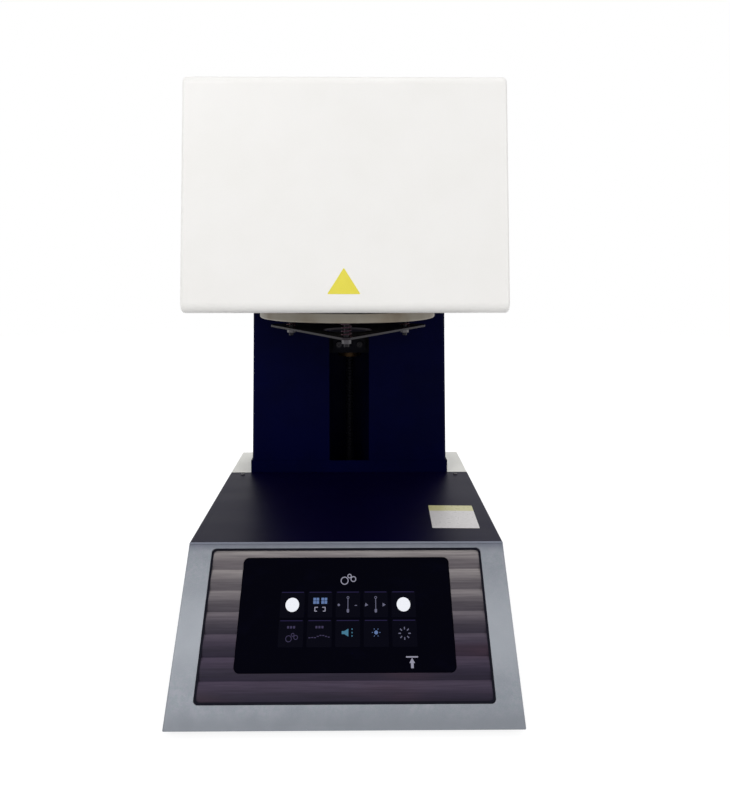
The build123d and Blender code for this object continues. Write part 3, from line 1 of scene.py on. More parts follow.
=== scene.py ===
from math import atan2, cos, hypot, radians, sin

import bmesh
import bpy
from mathutils import Matrix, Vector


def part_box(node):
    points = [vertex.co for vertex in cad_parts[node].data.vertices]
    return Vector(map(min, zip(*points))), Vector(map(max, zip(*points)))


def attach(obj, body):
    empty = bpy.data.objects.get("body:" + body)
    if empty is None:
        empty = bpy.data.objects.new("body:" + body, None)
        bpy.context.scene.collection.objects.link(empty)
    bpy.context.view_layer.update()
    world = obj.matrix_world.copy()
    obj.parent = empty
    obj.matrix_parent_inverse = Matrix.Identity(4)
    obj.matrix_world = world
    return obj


# Looks of a bottom-loading dental lab furnace, in metres: +Z up, the control panel faces -Y.
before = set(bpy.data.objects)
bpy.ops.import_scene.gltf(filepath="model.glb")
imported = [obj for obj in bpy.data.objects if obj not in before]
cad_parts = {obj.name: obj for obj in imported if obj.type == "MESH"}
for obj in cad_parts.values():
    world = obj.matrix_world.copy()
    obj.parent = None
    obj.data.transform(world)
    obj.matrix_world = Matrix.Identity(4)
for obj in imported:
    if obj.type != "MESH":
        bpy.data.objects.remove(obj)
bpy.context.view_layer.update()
bpy.ops.object.select_all(action="DESELECT")
MM = 0.001

# ---------------------------------------------------------------- places taken from the frame
PANEL_FOOT_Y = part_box("front_bezel")[0][1]
PANEL_FOOT_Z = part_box("front_bezel")[0][2]
DECK_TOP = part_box("deck_cover")[1][2]
HEAD_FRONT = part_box("head_cover")[0][1]
HEAD_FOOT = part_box("head_cover")[0][2]
RIB_PANEL_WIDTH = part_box("rib_panel")[1][0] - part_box("rib_panel")[0][0]
TABLE_AXIS_Y = (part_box("table_plate")[0][1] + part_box("table_plate")[1][1]) / 2

# Sizes of the sloped panel, in millimetres
PANEL_RUN = 127.0
PANEL_RISE = (DECK_TOP - PANEL_FOOT_Z) / MM
TILT = atan2(PANEL_RISE, PANEL_RUN)
RECESS_FOOT = 22.8
RECESS_HEIGHT = 159.0
RIB_COUNT = 7

# Reaches of tone up the slope, in millimetres from the panel's foot
# Upper bar darker: a painted reflection of the dark column and deck
BEZEL_UPPER_BAR_REFLECTION = (176, 188)
BEZEL_LOWER_BAR = (4, 26)
# Bezel sides paler half-way up: a painted highlight
BEZEL_SIDE_HIGHLIGHT_FOOT = (30, 80)
BEZEL_SIDE_HIGHLIGHT_HEAD = (100, 165)
# Ribs paler towards the top: a painted reflection
RIB_REFLECTION_REACH = (70, 178)
# Ribs warmer low down: a painted reflection
RIB_WARM_REFLECTION_REACH = (60, 110)

# Plain label on the deck, in millimetres: its middle, size, turn and where its band starts
LABEL_MIDDLE = (133.0, -49.0)
LABEL_SIZE = (57.0, 80.0)
LABEL_TURN = radians(-1.8)
LABEL_BAND_UP = 20.0
LABEL_BAND = LABEL_MIDDLE[1] * cos(LABEL_TURN) - LABEL_MIDDLE[0] * sin(LABEL_TURN) + LABEL_BAND_UP

# ---------------------------------------------------------------- camera
EYE_PLACE = (13.5, -946.8, 473.1)  # millimetres
EYE_TILT = 86.5  # degrees up from straight down
EYE_TURN = -0.55  # degrees, anticlockwise from above
SENSOR_WIDTH = 36.0
LENS = 32.75
LENS_SHIFT = -0.1212

bpy.ops.object.camera_add(
    location=[c * MM for c in EYE_PLACE],
    rotation=(radians(EYE_TILT), 0.0, radians(EYE_TURN)),
)
camera = bpy.context.object
camera.name = "front_camera"
camera.data.sensor_width = SENSOR_WIDTH
camera.data.lens = LENS
camera.data.shift_y = LENS_SHIFT
bpy.context.scene.camera = camera
bpy.context.scene.view_settings.view_transform = "Standard"


# ---------------------------------------------------------------- materials
WAVE_PITCH = 314.0  # millimetres from turn to turn of a Wave texture at a scale of 1
TURNING_SCALE = 180.0
BOARD_CELLS = 420.0  # cells in a metre
DISPLAY_CELLS = 5200.0
FACING_FRONT = -0.4  # a normal's Y below which a face looks forward
EDGE_STEEPNESS = 0.2  # a normal's squared Z below which a face is a plate's cut edge


class Value:
    """One output of a node. Sums written with it add Math nodes to its tree."""

    def __init__(self, maker, socket):
        self.maker = maker
        self.socket = socket

    def sum(self, operation, first, second):
        return self.maker.node("ShaderNodeMath", {"operation": operation}, {0: first, 1: second})

    def __add__(self, other):
        return self.sum("ADD", self, other)

    def __radd__(self, other):
        return self.sum("ADD", other, self)

    def __sub__(self, other):
        return self.sum("SUBTRACT", self, other)

    def __rsub__(self, other):
        return self.sum("SUBTRACT", other, self)

    def __mul__(self, other):
        return self.sum("MULTIPLY", self, other)

    def __rmul__(self, other):
        return self.sum("MULTIPLY", other, self)

    def __gt__(self, other):
        return self.sum("GREATER_THAN", self, other)

    def __lt__(self, other):
        return self.sum("LESS_THAN", self, other)


class NodeMaker:
    """Adds nodes to one node tree."""

    def __init__(self, tree):
        self.tree = tree

    def node(self, kind, settings=None, inputs=None, out=0):
        """Adds a node, sets it, fills its inputs with values or links and gives one output."""
        made = self.tree.nodes.new(kind)
        for name, setting in (settings or {}).items():
            setattr(made, name, setting)
        for name, value in (inputs or {}).items():
            if isinstance(value, Value):
                self.tree.links.new(value.socket, made.inputs[name])
            else:
                made.inputs[name].default_value = value
        return Value(self, made.outputs[out])

    def seen_directly(self):
        """1 for what is seen, also in a mirror or through glass, and 0 for light on things."""
        seen = [
            self.node("ShaderNodeLightPath", out=ray)
            for ray in ("Is Camera Ray", "Is Glossy Ray", "Is Transmission Ray")
        ]
        return seen[0] + seen[1] + seen[2]

    def show(self, shader, output):
        """Links a shader to the tree's output."""
        self.tree.links.new(shader.socket, self.tree.nodes[output].inputs["Surface"])


class Finish(NodeMaker):
    """A material on one Principled shader, with the nodes that vary it over a surface."""

    def __init__(self, name, colour, roughness, metallic=0.0, **settings):
        self.material = bpy.data.materials.new(name)
        self.material.use_nodes = True
        super().__init__(self.material.node_tree)
        self.shader = self.tree.nodes["Principled BSDF"]
        self.shader.inputs["Base Color"].default_value = shade(colour)
        self.shader.inputs["Roughness"].default_value = roughness
        self.shader.inputs["Metallic"].default_value = metallic
        for setting, amount in settings.items():
            socket = setting.replace("_", " ").title().replace("Ior", "IOR")
            self.shader.inputs[socket].default_value = amount
        self.place = self.node("ShaderNodeTexCoord", out="Object")

    def feed(self, socket, value):
        """Links a value to one of the shader's sockets."""
        self.tree.links.new(value.socket, self.shader.inputs[socket])

    def grain(self, size, stretch=(1, 1, 1), detail=3.0, roughness=0.5, turn=(0, 0, 0)):
        """Noise whose features are about size millimetres, turned, and drawn out by stretch."""
        turned = self.node("ShaderNodeMapping", {}, {"Vector": self.place, "Rotation": turn})
        place = self.node(
            "ShaderNodeMapping",
            {},
            {"Vector": turned, "Scale": [1 / (size * MM * s) for s in stretch]},
        )
        return self.node(
            "ShaderNodeTexNoise",
            {},
            {"Vector": place, "Scale": 1.0, "Detail": detail, "Roughness": roughness},
        )

    def level(self, factor, low, high, to_low=0.0, to_high=1.0):
        """Maps factor from low..high to to_low..to_high, held at both ends."""
        return self.node(
            "ShaderNodeMapRange",
            {"interpolation_type": "SMOOTHSTEP"},
            {
                "Value": factor,
                "From Min": low,
                "From Max": high,
                "To Min": to_low,
                "To Max": to_high,
            },
        )

    def blend(self, factor, first, second, how="MIX"):
        """Mixes two colours, each a link or an sRGB colour."""
        return self.node(
            "ShaderNodeMix",
            {"data_type": "RGBA", "blend_type": how},
            {
                0: factor,
                6: first if isinstance(first, Value) else shade(first),
                7: second if isinstance(second, Value) else shade(second),
            },
            out=2,
        )

    def axis(self, letter):
        """One coordinate of the place on the surface, in metres."""
        return self.node("ShaderNodeSeparateXYZ", {}, {"Vector": self.place}, out=letter)

    def up_slope(self):
        """Distance up the sloped panel from its foot, in millimetres."""
        along = (self.axis("Y") - PANEL_FOOT_Y) * (cos(TILT) / MM)
        return along + (self.axis("Z") - PANEL_FOOT_Z) * (sin(TILT) / MM)

    def bump(self, height, strength, distance):
        """Raises the surface by height, over a distance in millimetres."""
        normal = self.node(
            "ShaderNodeBump",
            {},
            {"Height": height, "Strength": strength, "Distance": distance * MM},
            out="Normal",
        )
        self.feed("Normal", normal)


def shade(colour):
    """An sRGB colour, 0 to 255 a channel, as the linear colour that a socket takes."""
    parts = [c / 255 for c in colour]
    linear = [p / 12.92 if p <= 0.04045 else ((p + 0.055) / 1.055) ** 2.4 for p in parts]
    return (*linear, 1.0)


def coated(name, colour, darker, size, depth, roughness, wiping=0.05, **settings):
    """Paint or powder coat: a fine skin, slow changes of tone and wiped patches."""
    finish = Finish(name, colour, roughness, **settings)
    skin = finish.grain(size, detail=2.0)
    tone = finish.grain(60, detail=3.0)
    wiped = finish.grain(35, stretch=(3, 1, 1), detail=4.0)
    fine = finish.level(skin, 0.3, 0.7, 0.0, 0.5)
    slow = finish.level(tone, 0.35, 0.7, 0.0, 0.5)
    finish.feed("Base Color", finish.blend(slow + fine, colour, darker))
    finish.feed("Roughness", finish.level(wiped, 0.3, 0.7, roughness - wiping, roughness + wiping))
    finish.bump(skin, 0.5, depth)
    return finish


def rolled(name, colour, darker, roughness, stretch=(14, 1, 1), size=0.6, metallic=1.0, **settings):
    """Bare metal with the fine lines of rolling, grinding or drawing along one way."""
    finish = Finish(name, colour, roughness, metallic, **settings)
    lines = finish.grain(size, stretch=stretch, detail=4.0, roughness=0.6)
    clouds = finish.grain(30, detail=3.0)
    finish.feed("Base Color", finish.blend(finish.level(clouds, 0.35, 0.7), colour, darker))
    finish.feed("Roughness", finish.level(lines, 0.25, 0.75, roughness - 0.07, roughness + 0.1))
    finish.bump(lines, 0.25, 0.02)
    return finish


def moulded(name, colour, roughness, size=0.5, depth=0.03, **settings):
    """Moulded plastic or rubber with its spark-eroded skin and a little dust in the hollows."""
    finish = Finish(name, colour, roughness, **settings)
    skin = finish.grain(size, detail=2.0)
    clouds = finish.grain(22, detail=3.0)
    dusty = tuple(min(255, c + 14) for c in colour)
    finish.feed("Base Color", finish.blend(finish.level(clouds, 0.45, 0.8, 0, 0.7), colour, dusty))
    finish.feed("Roughness", finish.level(clouds, 0.3, 0.7, roughness - 0.05, roughness + 0.08))
    finish.bump(skin, 0.4, depth)
    return finish


def deck_finish():
    """Navy powder coat whose faces that look forward, along its front edge, are painted pale grey
    as a painted highlight.
    """
    finish = coated(
        "navy_deck_coat",
        (2, 0, 27),
        (3, 1, 33),
        0.55,
        0.08,
        0.42,
        wiping=0.015,
        specular_ior_level=0.072,
        specular_tint=(0.84, 0.74, 1.0, 1.0),
    )
    facing = finish.node("ShaderNodeNewGeometry", out="Normal")
    forward = finish.node("ShaderNodeSeparateXYZ", {}, {"Vector": facing}, out="Y")
    coat = Value(finish, finish.shader.inputs["Base Color"].links[0].from_socket)
    # faces that look forward take the pale grey: a painted highlight along the deck's front edge
    finish.feed("Base Color", finish.blend(forward < FACING_FRONT, coat, (126, 130, 142)))
    return finish


def bezel_finish():
    """Metallic grey coat with a fine fleck, deeper along its lower bar, with a painted reflection
    darkening its upper bar and a painted highlight half-way up its sides.
    """
    finish = Finish("grey_metallic_coat", (126, 131, 138), 0.5, 0.25, specular_ior_level=0.3)
    fleck = finish.grain(0.7, detail=2.0)
    clouds = finish.grain(16, detail=4.0)
    up = finish.up_slope()
    # painted reflection: the upper bar darkened as the dark column and deck would show in it
    upper_bar_reflection = finish.level(up, *BEZEL_UPPER_BAR_REFLECTION, 0.0, 0.75)
    lower_bar = finish.level(up, *BEZEL_LOWER_BAR, 0.8, 0.0)
    # painted highlight: the sides paler half-way up
    side_highlight_foot = finish.level(up, *BEZEL_SIDE_HIGHLIGHT_FOOT, 0.0, 0.8)
    sides = side_highlight_foot * finish.level(up, *BEZEL_SIDE_HIGHLIGHT_HEAD, 1.0, 0.0)
    mottle = finish.grain(4, detail=4.0, roughness=0.6)
    mottled = finish.blend(finish.level(mottle, 0.36, 0.64), (132, 139, 145), (144, 145, 154))
    base = finish.blend(finish.level(clouds, 0.3, 0.72, 0.0, 0.6), mottled, (126, 131, 139))
    paler = finish.blend(sides, base, (157, 161, 168))
    flecked = finish.blend(finish.level(fleck, 0.4, 0.75, 0.0, 0.35), paler, (160, 165, 170))
    lowered = finish.blend(lower_bar, flecked, (122, 126, 133))
    finish.feed("Base Color", finish.blend(upper_bar_reflection, lowered, (86, 89, 104)))
    finish.feed("Roughness", finish.level(clouds, 0.3, 0.7, 0.46, 0.56))
    finish.bump(fleck, 0.4, 0.05)
    return finish


def ribbed_finish():
    """Violet-grey ribs with painted light: each rib painted dark low and pale at its upper edge,
    the panel painted paler towards the top and warmer low down as reflections, with long fine lines
    across the panel.
    """
    finish = Finish("ribbed_drawn_polymer", (96, 89, 101), 0.5, specular_ior_level=0.15)
    up = finish.up_slope()
    ribs_up = (up - RECESS_FOOT) * (RIB_COUNT / RECESS_HEIGHT)
    along_rib = finish.node("ShaderNodeMath", {"operation": "FRACT"}, {0: ribs_up})
    # painted highlight and shade: each rib dark low, pale towards its upper edge, with a dark line
    # at the valley above
    rib_highlight = finish.level(along_rib, 0.25, 0.92) * (1 - finish.level(along_rib, 0.95, 1.0))
    # painted reflection: the whole panel paler towards its top
    height = finish.level(up, *RIB_REFLECTION_REACH)
    dark = finish.blend(height, (36, 29, 47), (110, 104, 107))
    pale = finish.blend(height, (74, 64, 82), (166, 160, 158))
    tone = finish.blend(rib_highlight, dark, pale)
    # painted reflection: warm streaks, stronger low on the panel
    warm = finish.grain(38, stretch=(4, 1, 1), detail=2.0)
    lower = finish.level(up, *RIB_WARM_REFLECTION_REACH, 0.3, 0.1)
    warm_tone = finish.blend(finish.level(warm, 0.5, 0.75) * lower, tone, (84, 56, 64))
    lines = finish.grain(0.5, stretch=(70, 1, 1), detail=5.0, roughness=0.65, turn=(-TILT, 0, 0))
    bands = finish.grain(2.6, stretch=(24, 1, 1), detail=3.0, turn=(-TILT, 0, 0))
    line_depth = finish.level(lines, 0.3, 0.72, 0.0, 0.5)
    lined = finish.blend(line_depth, warm_tone, (186, 182, 190), "MULTIPLY")
    band_depth = finish.level(bands, 0.38, 0.68, 0.0, 0.35)
    finish.feed("Base Color", finish.blend(band_depth, lined, (160, 156, 166), "MULTIPLY"))
    finish.feed("Roughness", finish.level(lines, 0.3, 0.7, 0.42, 0.6))
    finish.bump(lines, 0.4, 0.08)
    return finish


def glass_finish():
    """Black-backed touch glass with the faint haze of wiped fingers."""
    finish = Finish("panel_glass", (1, 1, 5), 0.06, specular_ior_level=0.02)
    haze = finish.grain(14, stretch=(2, 1, 1), detail=5.0)
    finish.feed("Base Color", finish.blend(finish.level(haze, 0.5, 0.8), (0, 0, 9), (1, 1, 13)))
    finish.feed("Roughness", finish.level(haze, 0.4, 0.75, 0.05, 0.2))
    return finish


def fibre_finish(name, colour, darker, size, depth):
    """Pressed ceramic fibre or fired ceramic: matt, grainy and a little uneven in tone."""
    finish = Finish(name, colour, 0.9, specular_ior_level=0.15)
    grains = finish.grain(size, detail=6.0, roughness=0.7)
    clouds = finish.grain(25, detail=3.0)
    finish.feed("Base Color", finish.blend(finish.level(clouds, 0.35, 0.7), colour, darker))
    finish.feed("Roughness", finish.level(grains, 0.3, 0.7, 0.8, 0.96))
    finish.bump(grains, 0.7, depth)
    return finish


def spun_finish():
    """Dulled steel of the table, turned on a lathe, so its lines run round its axis."""
    finish = Finish("turned_table_steel", (132, 127, 117), 0.42, 0.8)
    centred = finish.node(
        "ShaderNodeMapping", {}, {"Vector": finish.place, "Location": (0, -TABLE_AXIS_Y, 0)}
    )
    rings = finish.node(
        "ShaderNodeTexWave",
        {"wave_type": "RINGS", "rings_direction": "Z"},
        {
            "Vector": centred,
            "Scale": TURNING_SCALE,
            "Distortion": 1.2,
            "Detail": 3.0,
            "Detail Scale": 2.0,
        },
        out="Fac",
    )
    heat = finish.level(finish.grain(45, detail=3.0), 0.4, 0.72)
    finish.feed("Base Color", finish.blend(heat, (134, 129, 119), (116, 106, 92)))
    finish.feed("Roughness", finish.level(rings, 0.2, 0.8, 0.36, 0.5))
    finish.bump(rings, 0.2, 0.02)
    return finish


def cut_plate_finish():
    """Dark coated plate whose cut edges are painted a little paler: uncoated steel at the cut, and
    a painted highlight where the edges catch light.
    """
    finish = Finish("coated_carrier_plate", (24, 23, 30), 0.5, specular_ior_level=0.2)
    facing = finish.node("ShaderNodeNewGeometry", out="Normal")
    upright = finish.node("ShaderNodeSeparateXYZ", {}, {"Vector": facing}, out="Z")
    cut = upright * upright < EDGE_STEEPNESS
    grain = finish.grain(0.5, stretch=(1, 1, 8), detail=3.0)
    clouds = finish.grain(18, detail=3.0)
    coat = finish.blend(finish.level(clouds, 0.3, 0.75), (12, 11, 20), (22, 20, 29))
    edge_steel_and_highlight = finish.blend(finish.level(clouds, 0.35, 0.65), (30, 23, 30), (22, 18, 27))
    # cut edges, picked by face direction, get the paler tone: partly uncoated steel, partly a
    # painted highlight
    finish.feed("Base Color", finish.blend(cut, coat, edge_steel_and_highlight))
    finish.feed("Roughness", finish.level(grain, 0.3, 0.7, 0.36, 0.55))
    finish.bump(grain, 0.3, 0.03)
    return finish


def board_finish():
    """Green solder mask with paler tracks."""
    finish = Finish("circuit_board_green", (22, 74, 46), 0.42)
    cells = finish.node(
        "ShaderNodeTexVoronoi",
        {"feature": "DISTANCE_TO_EDGE"},
        {"Vector": finish.place, "Scale": BOARD_CELLS},
        out="Distance",
    )
    mask = finish.level(cells, 0.02, 0.06)
    finish.feed("Base Color", finish.blend(mask, (62, 122, 78), (18, 66, 40)))
    finish.feed("Roughness", finish.level(cells, 0.02, 0.08, 0.3, 0.45))
    finish.bump(cells, 0.3, 0.03)
    return finish


def wound_finish(name, colour, darker, pitch, roughness, metallic):
    """Wire wound or plaited in close turns, pitch in millimetres."""
    finish = Finish(name, colour, roughness, metallic)
    turns = finish.node(
        "ShaderNodeTexWave",
        {"bands_direction": "Z"},
        {"Vector": finish.place, "Scale": WAVE_PITCH / pitch, "Distortion": 0.4, "Detail": 1.0},
        out="Fac",
    )
    finish.feed("Base Color", finish.blend(turns, darker, colour))
    finish.feed("Roughness", finish.level(turns, 0, 1, roughness + 0.15, roughness))
    finish.bump(turns, 0.6, 0.2)
    return finish


def lit_finish(name, colour):
    """A lit mark of the display, on its fine grid of picture cells."""
    finish = Finish(name, (1, 1, 3), 0.3, specular_ior_level=0.03, emission_strength=1.0)
    cells = finish.node(
        "ShaderNodeTexVoronoi",
        {"feature": "DISTANCE_TO_EDGE"},
        {"Vector": finish.place, "Scale": DISPLAY_CELLS, "Randomness": 0.0},
        out="Distance",
    )
    dimmer = tuple(c * 0.93 for c in colour)
    finish.feed("Emission Color", finish.blend(finish.level(cells, 0.03, 0.16), dimmer, colour))
    return finish


def label_finish():
    """Plain printed film: white, with a pale yellow band along its rear edge."""
    finish = Finish("label_film", (226, 223, 221), 0.3, specular_ior_level=0.4)
    turned = finish.node(
        "ShaderNodeMapping", {}, {"Vector": finish.place, "Rotation": (0, 0, -LABEL_TURN)}
    )
    along = finish.node("ShaderNodeSeparateXYZ", {}, {"Vector": turned}, out="Y")
    paper = finish.grain(6, detail=4.0)
    white = finish.blend(finish.level(paper, 0.3, 0.7), (229, 225, 225), (221, 218, 217))
    finish.feed("Base Color", finish.blend(along > LABEL_BAND * MM, white, (211, 206, 152)))
    finish.feed("Roughness", finish.level(paper, 0.3, 0.7, 0.26, 0.38))
    finish.bump(paper, 0.15, 0.05)
    return finish


enamel = coated(
    "head_enamel", (245, 243, 240), (242, 240, 236), 1.1, 0.02, 0.36, specular_ior_level=0.4
)
pale_coat = coated("pale_enamel", (246, 245, 238), (241, 240, 232), 0.9, 0.03, 0.42)
column_coat = coated(
    "navy_column_coat", (0, 2, 42), (0, 1, 30), 0.55, 0.08, 0.5, specular_ior_level=0.028
)
deck_coat = deck_finish()
chassis_coat = coated("black_chassis_coat", (24, 24, 29), (18, 18, 22), 0.5, 0.06, 0.55)
grey_coat = bezel_finish()
ribbed = ribbed_finish()
carrier_coat = cut_plate_finish()
lift_coat = coated(
    "black_lift_coat", (8, 8, 18), (12, 11, 22), 0.5, 0.05, 0.5, specular_ior_level=0.06
)
panel_glass = glass_finish()
fibre = fibre_finish("ceramic_fibre", (235, 231, 222), (229, 224, 213), 1.6, 0.35)
fired_ceramic = fibre_finish("fired_ceramic", (230, 222, 205), (223, 213, 194), 0.7, 0.1)
silicide = rolled(
    "element_silicide", (92, 92, 98), (62, 62, 68), 0.5, stretch=(1, 1, 10), metallic=0.6
)
zinc = rolled("zinc_plated_steel", (172, 176, 182), (148, 152, 160), 0.34)
ground = rolled(
    "ground_steel", (196, 198, 202), (176, 178, 184), 0.2, stretch=(1, 1, 16), size=0.4
)
nut_steel = rolled("dulled_nut_steel", (82, 80, 82), (62, 60, 64), 0.3)
oiled_steel = rolled(
    "oiled_screw_steel",
    (8, 8, 18),
    (5, 5, 14),
    0.55,
    size=0.4,
    metallic=0.1,
    specular_ior_level=0.15,
)
blackened = rolled("blackened_steel", (44, 43, 46), (32, 31, 34), 0.46)
plain_aluminium = rolled("machined_aluminium", (186, 188, 190), (168, 170, 174), 0.38)
dark_aluminium = rolled(
    "dark_anodised_aluminium", (30, 30, 38), (22, 22, 29), 0.46, metallic=0.6
)
spring_steel = rolled("blued_spring_steel", (86, 58, 62), (64, 44, 56), 0.36)
turned_steel = spun_finish()
black_plastic = moulded("black_plastic", (24, 24, 26), 0.48)
red_plastic = moulded("red_rocker_plastic", (158, 26, 22), 0.34)
foot_rubber = moulded("foot_rubber", (26, 26, 27), 0.78, size=0.9, depth=0.06)
# near-black strip that stands in for the shadow gap round the ribbed panel
gap_shade_black = moulded("panel_gap_shade_black", (8, 8, 20), 0.7, specular_ior_level=0.1)
lead_sleeve = moulded("lead_sleeve_silicone", (176, 60, 38), 0.6)
board_green = board_finish()
winding = wound_finish("enamelled_copper_winding", (168, 92, 48), (96, 44, 20), 1.4, 0.32, 0.8)
braid = wound_finish("plaited_copper_strap", (196, 150, 116), (128, 88, 62), 0.9, 0.42, 0.85)
bronze = rolled("oiled_nut_bronze", (64, 48, 30), (48, 36, 24), 0.5, stretch=(1, 1, 6))
label_film = label_finish()
yellow_film = coated("yellow_label_film", (236, 224, 84), (226, 212, 62), 0.8, 0.01, 0.34)
lit_white = lit_finish("lit_white", (246, 248, 255))
lit_grey = lit_finish("lit_grey", (150, 149, 166))
lit_pale = lit_finish("lit_pale", (104, 104, 126))
lit_dim = lit_finish("lit_dim", (62, 56, 84))
lit_line = lit_finish("lit_line", (36, 30, 66))
lit_blue = lit_finish("lit_blue", (98, 122, 168))
lit_teal = lit_finish("lit_teal", (70, 122, 148))
lit_tile = lit_finish("lit_tile", (0, 0, 10))

finishes = {
    enamel: ("head_cover",),
    pale_coat: ("rear_housing", "base_rear_panel", "head_rear_panel"),
    column_coat: ("column_cover", "column_collar", "column_rear_cover", "column_frame"),
    deck_coat: ("deck_cover",),
    grey_coat: ("front_bezel",),
    ribbed: ("rib_panel",),
    panel_glass: ("touch_glass",),
    chassis_coat: ("base_pan", "motor_bracket", "head_base_plate"),
    black_plastic: (
        "display_module",
        "power_inlet",
        "switch_body",
        "fan_frames",
        "base_fan_rotor",
        "head_fan_rotor",
        "solid_state_relay",
        "limit_switches",
    ),
    red_plastic: ("switch_rocker",),
    foot_rubber: ("feet",),
    board_green: ("control_board",),
    zinc: ("foot_screws", "fan_guards", "muffle_can", "power_supply"),
    nut_steel: ("post_nuts", "cover_screws"),
    oiled_steel: ("lead_screw",),
    lift_coat: ("carriage", "lift_arm"),
    blackened: (
        "arm_screws",
        "transformer_core",
        "lift_motor",
        "spring_posts",
    ),
    ground: ("guide_rods", "screw_bearings", "linear_bushes", "motor_shaft"),
    plain_aluminium: ("shaft_coupling",),
    dark_aluminium: ("relay_heat_sink", "bearing_blocks"),
    turned_steel: ("table_plate",),
    carrier_coat: ("carrier_plate",),
    spring_steel: ("table_springs",),
    bronze: ("lead_nut",),
    winding: ("transformer_coil",),
    braid: ("element_straps",),
    lead_sleeve: ("heater_leads",),
    fibre: ("insulation_plug", "muffle_wall", "muffle_roof"),
    fired_ceramic: ("firing_tray", "element_holders", "thermocouple"),
    silicide: ("heating_elements",),
}
for finish, nodes in finishes.items():
    for node in nodes:
        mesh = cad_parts[node].data
        mesh.materials.clear()
        mesh.materials.append(finish.material)

# ---------------------------------------------------------------- floor, sky and lamps
FLOOR_RADIUS = 4.0
FLOOR_GLOW_REACH = (0.4, 1.2)  # metres from the middle
FLOOR_GLOW = (0.84, 1.0)
DAYLIGHT = 0.46

floor_finish = Finish("studio_floor", (226, 226, 226), 0.9, specular_ior_level=0.0)
away = floor_finish.node(
    "ShaderNodeVectorMath", {"operation": "LENGTH"}, {0: floor_finish.place}, out="Value"
)
glow_strength = floor_finish.level(away, *FLOOR_GLOW_REACH, *FLOOR_GLOW)
glow = floor_finish.node(
    "ShaderNodeEmission", {}, {"Color": (1, 1, 1, 1), "Strength": glow_strength}
)
shadowed = floor_finish.node("ShaderNodeBsdfDiffuse", {}, {"Color": (0.3, 0.3, 0.3, 1)})
white_floor = floor_finish.node("ShaderNodeAddShader", {}, {0: glow, 1: shadowed})
plain_floor = Value(floor_finish, floor_finish.shader.outputs[0])
floor_finish.show(
    floor_finish.node(
        "ShaderNodeMixShader", {}, {0: floor_finish.seen_directly(), 1: plain_floor, 2: white_floor}
    ),
    "Material Output",
)

bpy.ops.mesh.primitive_circle_add(
    vertices=96, radius=FLOOR_RADIUS, fill_type="NGON", location=(0, 0, 0)
)
floor = bpy.context.object
floor.name = "studio_floor"
floor.data.materials.append(floor_finish.material)

world = bpy.data.worlds.new("studio_sky")
world.use_nodes = True
bpy.context.scene.world = world
sky = NodeMaker(world.node_tree)
backdrop = sky.node("ShaderNodeBackground", {}, {"Color": (1, 1, 1, 1), "Strength": 1.0})
daylight = sky.node(
    "ShaderNodeBackground", {}, {"Color": (0.97, 0.98, 1.0, 1), "Strength": DAYLIGHT}
)
sky.show(
    sky.node("ShaderNodeMixShader", {}, {0: sky.seen_directly(), 1: daylight, 2: backdrop}),
    "World Output",
)


def soft_box(name, place, aim, size, power, in_gloss=True):
    """A square soft lamp at place, turned to face aim, in metres and watts."""
    dx, dy, dz = [a - p for a, p in zip(aim, place)]
    tip = atan2(-dz, hypot(dx, dy))
    bpy.ops.object.light_add(
        type="AREA",
        location=place,
        rotation=(radians(90) - tip, 0, atan2(dy, dx) - radians(90)),
    )
    lamp = bpy.context.object
    lamp.name = name
    lamp.data.size = size
    lamp.data.energy = power
    lamp.visible_camera = False
    lamp.visible_glossy = in_gloss


soft_box("key_lamp", (-1.3, -2.3, 1.7), (0, 0, 0.4), 1.2, 29)
soft_box("fill_lamp", (2.1, -2.0, 1.1), (0, 0, 0.35), 1.6, 16)
soft_box("top_lamp", (0.1, -0.5, 2.9), (0, 0, 0.4), 1.4, 8)
soft_box("rear_lamp", (0.6, 2.4, 1.9), (0, 0, 0.4), 1.6, 26, in_gloss=False)


# ---------------------------------------------------------------- how pieces are made
STRAIGHT_UP = 0.9  # a normal's Z above which a face lies flat
CORNER_SEGMENTS = 4


def on_slope(x, up, out=0.0):
    """A point on the panel's slope, in millimetres across, up the slope and out of it."""
    return (
        x * MM,
        PANEL_FOOT_Y + (up * cos(TILT) - out * sin(TILT)) * MM,
        PANEL_FOOT_Z + (up * sin(TILT) + out * cos(TILT)) * MM,
    )


def sloped(turn=0.0):
    """Rotation that lies on the slope, turned by an angle within it."""
    return (Matrix.Rotation(TILT, 3, "X") @ Matrix.Rotation(turn, 3, "Z")).to_euler()


def pick(kind, test):
    """In edit mode, selects only the vertices, edges or faces that pass the test."""
    bpy.ops.mesh.select_mode(type=kind)
    bpy.ops.mesh.select_all(action="DESELECT")
    mesh = bmesh.from_edit_mesh(bpy.context.object.data)
    parts = {"VERT": mesh.verts, "EDGE": mesh.edges, "FACE": mesh.faces}[kind]
    for part in parts:
        if test(part):
            part.select_set(True)
    bmesh.update_edit_mesh(bpy.context.object.data)


def runs_through(edge):
    """True for an edge that runs through the plate's thickness."""
    first, second = [v.co for v in edge.verts]
    return abs(first.z - second.z) > 0.5 * (first - second).length


def is_flat_face(face):
    """True for the front and back faces of a plate."""
    return abs(face.normal.z) > STRAIGHT_UP


def plate(place, size, corner, turn=(0, 0, 0)):
    """A thin plate with rounded corners, size in millimetres."""
    bpy.ops.mesh.primitive_cube_add(
        size=1, location=place, rotation=turn, scale=[m * MM for m in size]
    )
    bpy.ops.object.transform_apply(location=False, rotation=False, scale=True)
    bpy.ops.object.mode_set(mode="EDIT")
    pick("EDGE", runs_through)
    bpy.ops.mesh.bevel(offset=corner * MM, segments=CORNER_SEGMENTS, affect="EDGES")
    bpy.ops.object.mode_set(mode="OBJECT")
    return bpy.context.object


